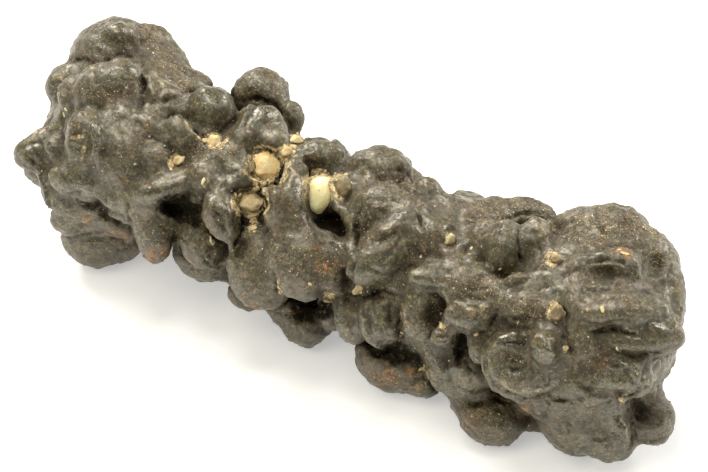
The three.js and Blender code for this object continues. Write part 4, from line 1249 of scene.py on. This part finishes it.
# %% [markdown]
# ## Where dust, rust, chalk and painted shade lie
#
# The finish changes over the stone: sand sits on its shoulders, rust stains a few lumps, chalk clings in the
# neck, and handling has polished the bosses. Painted shade darkens the creases, the hollows and the skin that
# more stone stands near, and the pale lines on thin ridges are partly a painted reflection. Each of these is
# an attribute, one number per point of the mesh. It is painted by ovals on the best face and by noise and
# slope on the far side, and the material reads it. An attribute stays on the surface in any view, as a real
# stain does.

# %% How sheltered each point lies
SHELTER_RAYS = 12
SHELTER_REACH = 4.5  # a wall farther off than this, in millimetres, gives no shelter


def sheltered_share(points, normals, mesh):
    """The share of directions out of the skin in which more stone stands near."""
    stone_tree = tree_of(points, mesh)
    around = np.random.default_rng(3).normal(size=(SHELTER_RAYS, 3))
    around = [Vector(v).normalized() * 0.95 for v in around]
    blocked = np.zeros(len(points))
    for i, (point, normal) in enumerate(zip(points + normals * 0.08 * mm, normals)):
        start, out = Vector(point), Vector(normal)
        hits = [stone_tree.ray_cast(start, out + turn, SHELTER_REACH * mm)[0] for turn in around]
        blocked[i] = sum(hit is not None for hit in hits)
    return evened(blocked / SHELTER_RAYS, edges_of(mesh), 2)


normals = outward_normals(stone.data, pairs)
# The material darkens sheltered skin with painted shade.
sheltered = sheltered_share(skin, normals, stone.data)
print("sheltered:", round(float(sheltered.mean()), 2), "on average")

# %% Paint the attributes
THIN_RIDGE = 0.25  # ridges up to this width show as pale rims
RIM_WIDTH, CREASE_SHADE_WIDTH = 0.17, 0.25
CHALK_COLLARS = ("cream_pebble", "ochre_chalk", "tan_chalk", "neck_grain", "finger_grain")

facing_up = np.clip(normals_of(stone.data)[:, 2], 0, 1)
jagged = seen + wobble(skin, 0.5, 1.2) + wobble(skin, 0.2, 0.4)
elsewhere = {
    "dust": patchy(skin, 7.0, 0.5, 11.0) * 0.7 + 0.35 * facing_up,
    "gold": patchy(skin, 6.0, 0.3, 12.0) * (0.35 + 0.6 * facing_up),
    "rust": patchy(skin, 4.5, 0.10, 13.0),
    "chalk": patchy(skin, 3.0, 0.03, 14.0),
    "polish": patchy(skin, 6.0, 0.3, 15.0),
}
masks = {}
for name, beyond in elsewhere.items():
    masks[name] = np.clip(paint(jagged, zones[name]) * seen_share + beyond * hidden_share, 0, 1.6)

# Thin ridges become pale rims, part painted reflection and part sandy edge; creases get painted shade lines.
rims, crease_shade = np.zeros(len(skin)), np.zeros(len(skin))
for kind, width, height, line in strokes:
    if kind == "ridge" and width <= THIN_RIDGE:
        layer, strength, spread = rims, 1, RIM_WIDTH
    elif kind == "crease":
        layer, strength, spread = crease_shade, min(height * 1.7, 1), CREASE_SHADE_WIDTH
    else:
        continue
    near, distance, _, run = measure_line(jagged, line, 0.6)
    ends = np.clip(np.minimum(run, 1 - run) * 6, 0, 1) * strength
    layer[near] = np.maximum(layer[near], ends * np.exp(-((distance / spread) ** 2)))
masks["rim"] = rims * seen_share

# Crushed chalk rings some of the grains; the pebble's lower edge stays clean.
for name in CHALK_COLLARS:
    seat = seats[name]
    collar = np.clip(4.0 - 2.6 * round_an_oval(jagged, *seat), 0, 1)
    if name == "cream_pebble":
        collar *= np.clip(0.6 - (seen[:, 1] - seat[1]) / seat[3], 0, 1)
    masks["chalk"] = np.maximum(masks["chalk"], collar * seen_share * 0.85)

# Shade is painted only where the skin steps back from the rim of its oval.
out = in_face_frame(skin)[:, 2]
masks["shade"] = np.zeros(len(skin))
for *oval, strength in zones["shade"]:
    below = np.clip((rim_of(skin, *oval) - out) / 1.3, 0, 1)
    spread = np.clip(2.4 - 1.3 * round_an_oval(jagged, *oval), 0, 1)
    masks["shade"] = np.maximum(masks["shade"], strength * below * spread * seen_share)
# Painted shade along the floor of every crease, stronger where the skin is sheltered.
masks["shade"] = np.maximum(masks["shade"], crease_shade * seen_share * np.clip(0.55 + 1.0 * sheltered, 0, 1))

# Where evening would push the skin outward it is hollow, and where it would pull it in there is an edge.
bend_small = ((evened(skin, pairs, 5) - skin) * normals).sum(axis=1) / mm
bend_wide = ((evened(skin, pairs, 40) - skin) * normals).sum(axis=1) / mm
# The material darkens hollow and sheltered skin with painted shade.
masks["hollow"] = np.clip(bend_wide / 0.30 + bend_small / 0.10, 0, 1)
masks["sheltered"] = np.clip(sheltered * 1.15, 0, 1)
masks["edge"] = np.clip(-bend_wide / 0.40 - bend_small / 0.10, 0, 1)
for name, values in masks.items():
    paint_attribute(stone.data, name, values)
print({name: round(float(values.mean()), 3) for name, values in masks.items()})

# %% [markdown]
# ## Shared effects as node groups
#
# Sand, mottling and fine grain show on the stone and on the grains of bed rock alike. Each effect is a node
# group, built once with named inputs and outputs, and every material gives it its own scale and amount. A
# group returns only masks, tints and heights. The shader itself stays in the material.


# %% The groups: mottling, sand, speckle, wrinkles and fine grain
def group(name, numbers, results):
    """A node group fed with a vector and numbers; gives the group, its tree, and its sockets by name."""
    shared = bpy.data.node_groups.new(name, "ShaderNodeTree")
    shared.interface.new_socket("Vector", in_out="INPUT", socket_type="NodeSocketVector")
    for label in numbers:
        shared.interface.new_socket(label, in_out="INPUT", socket_type="NodeSocketFloat")
    for label in results:
        shared.interface.new_socket(label, in_out="OUTPUT", socket_type="NodeSocketFloat")
    given, result = shared.nodes.new("NodeGroupInput"), shared.nodes.new("NodeGroupOutput")
    return shared, Tree(shared), given.outputs, result.inputs


mottling, tree, given, result = group("mottling", ["Scale", "Low", "High"], ["Mask"])
cloud = tree.noise(given["Vector"], given["Scale"], 5.0, 0.6)
tree.feed(result["Mask"], tree.step(cloud, given["Low"], given["High"]))

sand, tree, given, result = group("sand", ["Scale", "Amount", "Size"], ["Mask", "Tint"])
distance, dice = tree.cells(given["Vector"], given["Scale"])
kept = tree.math("LESS_THAN", dice["Red"], given["Amount"])
own_size = tree.times(given["Size"], tree.math("ADD", dice["Green"], 0.35))
disc = tree.math("SUBTRACT", 1.0, tree.step(distance, tree.times(own_size, 0.6), own_size))
tree.feed(result["Mask"], tree.times(disc, kept))
tree.feed(result["Tint"], dice["Blue"])

speckle, tree, given, result = group("speckle", ["Scale"], ["Shade"])
distance, dice = tree.cells(given["Vector"], given["Scale"])
blur = tree.noise(given["Vector"], given["Scale"], 3.0, 0.7)
tree.feed(result["Shade"], tree.times(dice["Red"], 0.45, tree.times(blur, 0.55)))

wrinkles, tree, given, result = group("wrinkles", ["Scale", "Width"], ["Line"])
hills = tree.noise(given["Vector"], given["Scale"], 3.0, 0.6)
off = tree.math("ABSOLUTE", tree.math("SUBTRACT", hills, 0.5))
tree.feed(result["Line"], tree.math("SUBTRACT", 1.0, tree.step(off, 0.0, given["Width"])))

fine_grain, tree, given, result = group("fine_grain", ["Scale"], ["Height"])
tree.feed(result["Height"], tree.noise(given["Vector"], given["Scale"], 6.0, 0.65))

SAND_TINTS = [
    (0.0, (0.14, 0.10, 0.055)), (0.4, (0.24, 0.175, 0.10)),
    (0.8, (0.35, 0.28, 0.18)), (1.0, (0.60, 0.55, 0.45)),
]
print("groups:", [shared.name for shared in bpy.data.node_groups])

# %% [markdown]
# ## Goethite
#
# Goethite is a dense iron oxide. Clean, it is brown-black with a waxy, almost metallic sheen, because its
# refractive index is high. Here it varies: greenish grey where polished, warmer brown where dusty, rusty in
# patches, and peppered with sand. Painted shade darkens it in the hollows and makes it nearly black in the
# creases, and the pale lines along thin ridges are partly a painted reflection. The material lays these over
# each other in the order in which they came: stone, stain, dust, chalk and sand, with painted shade laid over
# the dust and again near the end, and the bump follows the same masks.

# %% The goethite material: the masks
GLINT = (1.0, 0.95, 0.86)  # the tint of its reflections
goethite, tree, shader, place = start_material("waxy_goethite", Roughness=0.30, IOR=1.8, Specular_Tint=GLINT)
clouds = tree.use(mottling, place, 330.0, Low=0.36, High=0.66)["Mask"]
blotches = tree.use(mottling, place, 1300.0, Low=0.48, High=0.66)["Mask"]
dust_cloud = tree.use(mottling, place, 800.0, Low=0.40, High=0.64)["Mask"]
chalk_break = tree.use(mottling, place, 1500.0, Low=0.30, High=0.50)["Mask"]
polish, hollow, deep = [tree.painted(name) for name in ("polish", "hollow", "sheltered")]

stain = tree.math("MULTIPLY", tree.painted("rust"), tree.math("ADD", blotches, 0.35), clamp=True)
dust = tree.times(tree.painted("dust"), tree.times(dust_cloud, 0.75, 0.15), clamp=True)
chalk_film = tree.times(tree.painted("chalk"), tree.math("ADD", chalk_break, 0.35))
chalk_film = tree.step(chalk_film, 0.40, 0.75)
# Painted shade: where the shade attribute is painted, the colour goes nearly black.
black = tree.times(tree.painted("shade"), tree.times(chalk_break, 0.6, 0.5))
black = tree.step(black, 0.15, 1.0)
sand_cover = tree.times(tree.painted("gold"), 0.42, tree.times(tree.painted("dust"), 0.18, 0.03))
sand_cover = tree.times(sand_cover, tree.math("SUBTRACT", 1.1, polish))
grit = tree.use(sand, place, 5200.0, Amount=sand_cover, Size=0.42)
flour = tree.use(sand, place, 9500.0, Amount=tree.times(sand_cover, 1.2), Size=0.42)
wrinkle = tree.times(tree.use(wrinkles, place, 620.0, Width=0.022)["Line"], clouds)
small_wrinkle = tree.times(tree.use(wrinkles, place, 1700.0, Width=0.020)["Line"], dust_cloud)
wrinkle = tree.math("MAXIMUM", wrinkle, small_wrinkle)
print("goethite masks:", len(tree.nodes), "nodes")

# %% The goethite material: its colour
CHALK_TINTS = [(0.35, (0.30, 0.23, 0.125)), (0.65, (0.52, 0.42, 0.25))]
HUES = [(0.36, (1.16, 0.95, 0.86)), (0.48, (1.0, 1.0, 0.97)), (0.62, (0.90, 1.0, 0.98))]
FLECK_TINTS = [
    (0.22, (0.42, 0.39, 0.38)), (0.42, (0.80, 0.80, 0.78)), (0.58, (1.0, 0.99, 0.96)),
    (0.72, (1.62, 1.55, 1.42)), (0.80, (2.2, 2.08, 1.85)),
]


def lay(colour, *layers):
    """Lays tints over a colour, each by its mask and a share of it."""
    for mask, share, tint in layers:
        colour = tree.mix(mask if share == 1 else tree.times(mask, share), colour, tint)
    return colour


colour = lay(
    tree.mix(clouds, (0.056, 0.041, 0.017), (0.078, 0.072, 0.034)),
    (blotches, 0.6, (0.074, 0.050, 0.023)),
    (polish, 0.7, (0.062, 0.063, 0.041)),
    (tree.painted("edge"), 0.35, (0.11, 0.097, 0.058)),
    # pale rims along thin ridges: partly painted reflection along lump outlines, partly pale sandy edges
    (tree.painted("rim"), 1, (0.20, 0.17, 0.095)),
    (stain, 1, (0.26, 0.125, 0.045)),
    (dust, 0.8, (0.070, 0.046, 0.021)),
)
hue = tree.ramp(tree.noise(place, 1000.0, 4.0, 0.7), *HUES)
colour = lay(
    tree.mix(1.0, colour, hue, "MULTIPLY"),
    # painted shade: darker in the hollows and where more stone stands near
    (hollow, 0.45, (0.022, 0.017, 0.010)),
    (deep, 0.60, (0.014, 0.011, 0.007)),
    (chalk_film, 1, tree.ramp(tree.noise(place, 1100.0, 3.0), *CHALK_TINTS)),
    (grit["Mask"], 1, tree.ramp(grit["Tint"], *SAND_TINTS)),
    (flour["Mask"], 1, tree.ramp(flour["Tint"], *SAND_TINTS)),
    # painted shade along the fine wrinkle grooves
    (wrinkle, 0.5, (0.030, 0.021, 0.012)),
    # painted shade, nearly black, in the deep hollows and along the creases
    (black, 0.95, (0.007, 0.0052, 0.0032)),
)
for scale in (3300.0, 6200.0):
    fleck = tree.use(speckle, place, scale)["Shade"]
    colour = tree.mix(1.0, colour, tree.ramp(fleck, *FLECK_TINTS), "MULTIPLY")
tree.feed(shader.inputs["Base Color"], colour)
print("goethite colour:", len(tree.nodes), "nodes")

# %% The goethite material: gloss and bump
gloss = tree.times(tree.noise(place, 900.0, 4.0, 0.6), 0.34, 0.18)
dulled_by = {polish: -0.17, dust: 0.38, chalk_film: 0.5, hollow: 0.25, deep: 0.5, black: 0.5, stain: 0.3}
for mask, dulling in dulled_by.items():
    gloss = tree.times(mask, dulling, gloss)
tree.feed(shader.inputs["Roughness"], tree.times(grit["Mask"], 0.3, gloss, clamp=True))
shine = tree.times(tree.math("MAXIMUM", black, deep), -0.45, 0.5)
tree.feed(shader.inputs["Specular IOR Level"], tree.times(dust, -0.2, shine, clamp=True))

ripple, tooth, grain = [tree.use(fine_grain, place, scale)["Height"] for scale in (900.0, 4200.0, 9000.0)]
normal = tree.bump(
    (tree.times(ripple, tree.times(polish, -0.7, 1.0)), 0.00009),
    (tree.times(tooth, tree.math("ADD", dust, 0.2)), 0.00008),
    (grain, 0.000015),
    (grit["Mask"], 0.00004),
    (chalk_film, 0.00012),
    (tree.math("SUBTRACT", 1.0, wrinkle), 0.00006),
)
tree.feed(shader.inputs["Normal"], normal)
stone.data.materials.clear()
stone.data.materials.append(goethite)
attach(stone, "root")
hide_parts("goethite_body")
print("goethite has", len(tree.nodes), "nodes")

# %% [markdown]
# ## Grains of bed rock
#
# Twelve grains are parts of their own in the packed model: a cream pebble, lumps of chalk and a smoky quartz.
# There they are plain faceted solids, so each gets a finer twin in the same place. The twin starts as a
# merged copy, is subdivided, smoothed at its old size, and roughened by noise. How much it is smoothed tells
# worn pebbles from broken chalk.

# %% Materials of the grains
GRIME = (0.17, 0.13, 0.075)
GRAIN_FINISHES = {  # slot: dark and light colour, roughness, how strong its specks are, height of its bumps
    "chalk": ((0.82, 0.69, 0.32), (0.96, 0.90, 0.52), 0.45, 0.05, 0.00008),
    "ochre": ((0.80, 0.54, 0.22), (0.95, 0.77, 0.42), 0.85, 0.08, 0.00020),
    "tan": ((0.54, 0.41, 0.20), (0.88, 0.71, 0.40), 0.85, 0.14, 0.00020),
    "smoky": ((0.10, 0.075, 0.035), (0.32, 0.25, 0.13), 0.40, 0.08, 0.00008),
}
grain_materials = {}
for slot, (dark, light, roughness, specks, bump_height) in GRAIN_FINISHES.items():
    material, tree, shader, place = start_material("bed_rock_" + slot, Roughness=roughness, IOR=1.5)
    clouds = tree.use(mottling, place, 900.0, Low=0.36, High=0.60)["Mask"]
    grit = tree.use(sand, place, 4200.0, Amount=specks, Size=0.5)
    grime = tree.times(tree.painted("grime"), tree.math("ADD", clouds, 0.6), clamp=True)
    clean = tree.mix(clouds, dark, light)
    colour = lay(clean, (grit["Mask"], 0.35, tree.ramp(grit["Tint"], *SAND_TINTS)), (grime, 1, GRIME))
    tree.feed(shader.inputs["Base Color"], colour)
    tooth = tree.use(fine_grain, place, 2600.0)["Height"]
    tree.feed(shader.inputs["Normal"], tree.bump((tooth, bump_height)))
    if slot in ("chalk", "smoky"):  # light passes a little way into these
        shader.inputs["Subsurface Weight"].default_value = 0.25
        shader.inputs["Subsurface Scale"].default_value = 0.0006
        shader.inputs["Subsurface Radius"].default_value = (1.0, 0.8, 0.5)
    grain_materials[slot] = material
print("grain finishes:", sorted(grain_materials))

# %% Finer twins of the grains
# smoothing rounds, how much of the front is kept, height of the bumps in millimetres
PEBBLES = {"cream_pebble": (6, 0.8, 0.05), "smoky_grain": (4, 0.8, 0.05)}
BROKEN = (1, 0.7, 0.26)
FEW_FACES = 60  # a grain with fewer faces than this is cut finer
LEAST_GRIME, SOME_GRIME, MOST_GRIME = 0.05, 0.25, 0.75
GRIMY = ("slope_grain", "crease_grain", "lip_grain", "keel_grain")
slots_of = {part["node"]: part["material_slot"] for part in frame["record"]["subparts"]}
slots_of.pop("goethite_body")


def soil(mesh, least):
    """Paints the grime attribute: at least so much everywhere, more on the sides that meet the stone."""
    facing = np.clip(normals_of(mesh) @ np.array(outward), 0, 1)
    paint_attribute(mesh, "grime", least + (MOST_GRIME - least) * np.clip(1 - 1.6 * facing, 0, 1))


def pear(points):
    """Draws a round pebble out to a point at its lower left."""
    spot = seen_at(points)
    across = spot[:, 0] - spot[:, 0].mean()
    fall = (spot[:, 1] - spot[:, 1].mean()) / np.ptp(spot[:, 1]) * 2
    shift = (across * (0.16 * fall - 0.14) + 0.22 * fall) * mm
    return points - np.array(to_rest @ Vector((1, 0, 0))) * shift[:, None]


def finer_twin(node, rounds, proud, roughness):
    """A subdivided, worn and roughened copy of a CAD grain in its place."""
    bm = bmesh.new()
    bm.from_mesh(frame["nodes"][node].data)
    bmesh.ops.remove_doubles(bm, verts=bm.verts, dist=1e-6)
    cuts = 5 if len(bm.faces) < FEW_FACES else 3
    bmesh.ops.subdivide_edges(bm, edges=bm.edges, cuts=cuts, use_grid_fill=True)
    twin = new_piece("dressed_" + node, bm)
    own_pairs, points = edges_of(twin.data), points_of(twin.data)
    low, high = points.min(0), points.max(0)
    points = evened(points, own_pairs, rounds)
    middle, half = (low + high) / 2, (high - low) / 2
    points = middle + (points - middle) * (half / (points.max(0) - points.min(0)) * 2)
    if node == "cream_pebble":
        points = pear(points)
    depth = in_face_frame(points)[:, 2]
    front = np.clip(depth - (depth.max() + depth.min()) / 2, 0, None)
    points = points - np.array(outward) * (front * (1 - proud) * mm)[:, None]
    move_points(twin.data, points)
    bumps = noise_over(points, 0.9, rough, 21.0) * 0.7 + noise_over(points, 0.35, noise.noise, 22.0) * 0.3
    move_points(twin.data, points + outward_normals(twin.data, own_pairs) * (bumps * roughness * mm)[:, None])
    soil(twin.data, MOST_GRIME if node in GRIMY else LEAST_GRIME)
    return twin


for node, slot in slots_of.items():
    rounds, proud, roughness = PEBBLES.get(node, BROKEN)
    twin = finer_twin(node, rounds, proud, roughness)
    twin.data.shade_smooth()
    twin.data.materials.append(grain_materials[slot])
    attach(twin, "root")
    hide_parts(node)
print("dressed", len(slots_of), "grains")

# %% [markdown]
# ## Crumbs
#
# Smaller bits of the same bed rock stick to the stone, too small to be parts of the model. Each is a rough
# little ball, half sunk at the spot where a ray from the eye through the sheet meets the skin. They are made
# in one mesh for each finish, since they never move apart.

# %% Crumbs on the best face: across:down, half size, slot
CRUMBS = """
6.6:11 .3 chalk, 6.4:11.5 .32 chalk, 20.3:18.1 .38 chalk, 21.1:23.9 .35 chalk, 21.4:24.3 .28 chalk
44.2:32.6 .42 tan, 44:32.3 .25 tan, 35.6:29 .62 tan, 36:28.7 .35 tan, 56.4:34.7 .24 chalk
61.7:34.9 .24 chalk, 60.3:30.9 .3 chalk, 47.1:24.8 .2 chalk, 47:25.4 .32 smoky, 46.6:28.9 .17 chalk
49.9:41.4 .15 chalk, 34.6:17.4 .3 tan, 28.6:15.4 .45 tan, 29.3:14.7 .35 tan, 29.4:13.7 .45 tan
30.3:13.6 .35 tan, 24:19.5 .42 tan, 23.7:20 .3 tan, 25.6:18.9 .4 tan, 26.1:18.6 .35 tan, 25.2:21.6 .42 tan
25.3:22.2 .4 tan, 25.4:22.8 .32 tan, 31.2:17.8 .45 tan, 32.1:17.7 .6 tan, 33:17.8 .5 tan, 30.6:18.2 .35 tan
17:16.4 .4 tan, 18.2:15.9 .35 tan, 20.5:14 .35 tan, 21.9:14.4 .4 tan, 55:25.6 .45 tan, 55.7:26.2 .4 tan
54.9:31.4 .45 tan, 55.7:30.6 .4 tan, 55.6:32.1 .32 tan, 62:40 .3 tan, 42.4:37 .28 tan, 45.1:23.6 .32 tan
27.8:28.2 .24 ochre, 27.9:28.8 .26 ochre, 28:29.3 .2 ochre, 40.2:33.3 .25 tan, 15.3:5.3 .15 chalk
9.2:6.8 .2 chalk, 13.5:16.4 .12 chalk, 37.6:20.7 .12 chalk, 42.1:25.7 .13 chalk, 43.5:20.6 .12 chalk
50:26.9 .2 tan, 34:24.6 .18 ochre, 31:28.4 .2 ochre, 62.5:25.3 .5 ochre, 61.9:25 .35 ochre, 47.7:33.4 .3 tan
44.9:36.1 .14 chalk
"""
stone_skin = tree_of(skin, stone.data)


def on_stone(across, down):
    """Where the line of sight through a point of the sheet meets the stone, and the normal there."""
    aim = (at_rest(on_sheet(across, down)) - eye).normalized()
    return stone_skin.ray_cast(eye, aim, 3.0)[:2]


def add_crumb(bm, place, normal, size, number):
    """One flattened, knobbly ball; its number in the table turns it and sets its length."""
    spin = normal.to_track_quat("Z", "Y").to_matrix() @ Matrix.Rotation(number * 2.4, 3, "Z")
    length = size * (0.7 + 0.3 * math.sin(number * 1.7)) * mm
    squash = Matrix.Diagonal((size * mm, length, size * 0.38 * mm, 1))
    sunk = Matrix.Translation(place - normal * size * 0.12 * mm) @ spin.to_4x4() @ squash
    for vert in bmesh.ops.create_icosphere(bm, subdivisions=3, radius=1.0, matrix=sunk)["verts"]:
        out = (vert.co - place).normalized()
        knobs = 0.50 * noise.noise(vert.co / (0.45 * mm)) + 0.20 * noise.noise(vert.co / (0.16 * mm))
        vert.co += out * size * mm * knobs


crumb_heaps = {}
for number, (across, down, size, slot) in enumerate(read_table(CRUMBS)):
    place, normal = on_stone(across, down)
    if place is not None:
        add_crumb(crumb_heaps.setdefault(slot, bmesh.new()), place, normal, size, number)
for slot, bm in sorted(crumb_heaps.items()):
    crumbs = new_piece(slot + "_crumbs", bm)
    soil(crumbs.data, SOME_GRIME)
    crumbs.data.materials.append(grain_materials[slot])
    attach(crumbs, "root")
print("crumbs:", sorted(crumb_heaps))

# %% [markdown]
# ## Loose sand
#
# Thousands of sand grains cling to the stone. As objects they would be slow, and as paint they would have no
# edge against the light, so they are one joined mesh: a small ball is repeated by arrays, each time with its
# own place, turn and size. Places are drawn at random over the skin, more often where it is dusty or hollow,
# from a seeded generator that gives the same sand each run.

# %% Where the sand lies
SAND_COUNT = 8000
SAND_SIZE, SAND_SPREAD = 0.056, 0.36  # the middle radius in millimetres, and how much the sizes differ
BARE_HEIGHT = 0.15  # no sand lies under the stone, below this height in millimetres

dice_box = np.random.default_rng(7)
stone.data.calc_loop_triangles()
corners = np.empty(len(stone.data.loop_triangles) * 3, dtype=np.int32)
stone.data.loop_triangles.foreach_get("vertices", corners)
corners = corners.reshape(-1, 3)
triangle = skin[corners]
areas = np.linalg.norm(np.cross(triangle[:, 1] - triangle[:, 0], triangle[:, 2] - triangle[:, 0]), axis=1) / 2
liking = 0.06 + 0.9 * masks["dust"] + 1.6 * masks["gold"] + 0.8 * masks["hollow"] - 0.1 * masks["polish"]
liking = np.clip(liking * (1 - np.clip(masks["shade"], 0, 0.9)), 0.01, None)[corners].mean(axis=1) * areas
liking[triangle[:, :, 2].max(axis=1) < BARE_HEIGHT * mm] = 0
chosen = dice_box.choice(len(corners), SAND_COUNT, p=liking / liking.sum())
weights = dice_box.dirichlet((1, 1, 1), SAND_COUNT)
places = (triangle[chosen] * weights[:, :, None]).sum(axis=1)
print("sand lies on", len(np.unique(chosen)), "triangles")

# %% Scatter the sand
bm = bmesh.new()
bmesh.ops.create_icosphere(bm, subdivisions=1, radius=1.0)
seed_grain = np.array([tuple(v.co) for v in bm.verts])
seed_faces = np.array([[v.index for v in f.verts] for f in bm.faces])
bm.free()

sizes = np.exp(dice_box.normal(math.log(SAND_SIZE), SAND_SPREAD, SAND_COUNT)) * mm
stretch = dice_box.uniform(0.6, 1.3, (SAND_COUNT, 1, 3))
turns, _ = np.linalg.qr(dice_box.normal(size=(SAND_COUNT, 3, 3)))
turns *= np.sign(np.linalg.det(turns))[:, None, None]
grains = (seed_grain[None] * stretch) @ turns * sizes[:, None, None] + places[:, None]
faces = (seed_faces[None] + (np.arange(SAND_COUNT) * len(seed_grain))[:, None, None]).reshape(-1, 3)
mesh = bpy.data.meshes.new("loose_sand")
mesh.from_pydata(grains.reshape(-1, 3).tolist(), [], faces.tolist())
paint_attribute(mesh, "tint", np.repeat(dice_box.random(SAND_COUNT), len(seed_grain)))
loose_sand = bpy.data.objects.new("loose_sand", mesh)
scene.collection.objects.link(loose_sand)
print("sand:", len(faces), "faces, grains", round(float(sizes.mean() * 2000), 3), "mm across")

# %% Sand material
QUARTZ_TINTS = [
    (0.0, (0.13, 0.095, 0.05)), (0.4, (0.21, 0.165, 0.10)),
    (0.85, (0.34, 0.29, 0.20)), (1.0, (0.68, 0.64, 0.54)),
]
sand_finish, tree, shader, place = start_material("sand_grains", Roughness=0.45, IOR=1.54)
cloud = tree.use(mottling, place, 9000.0, Low=0.35, High=0.65)["Mask"]
colour = lay(tree.ramp(tree.painted("tint"), *QUARTZ_TINTS), (cloud, 0.3, (0.10, 0.07, 0.04)))
tree.feed(shader.inputs["Base Color"], colour)
loose_sand.data.materials.append(sand_finish)
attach(loose_sand, "root")
print("sand finished")

# %% [markdown]
# ## Size and finish
#
# The dressed stone has to keep the size of the packed model, so both boxes are measured and printed.

# %% Measure the two boxes and print them
visual_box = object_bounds()
boxes = {"cad": [list(corner) for corner in cad_box], "visual": [list(corner) for corner in visual_box]}
for name, (low, high) in boxes.items():
    print(name, [round((b - a) / mm, 2) for a, b in zip(low, high)], "mm")
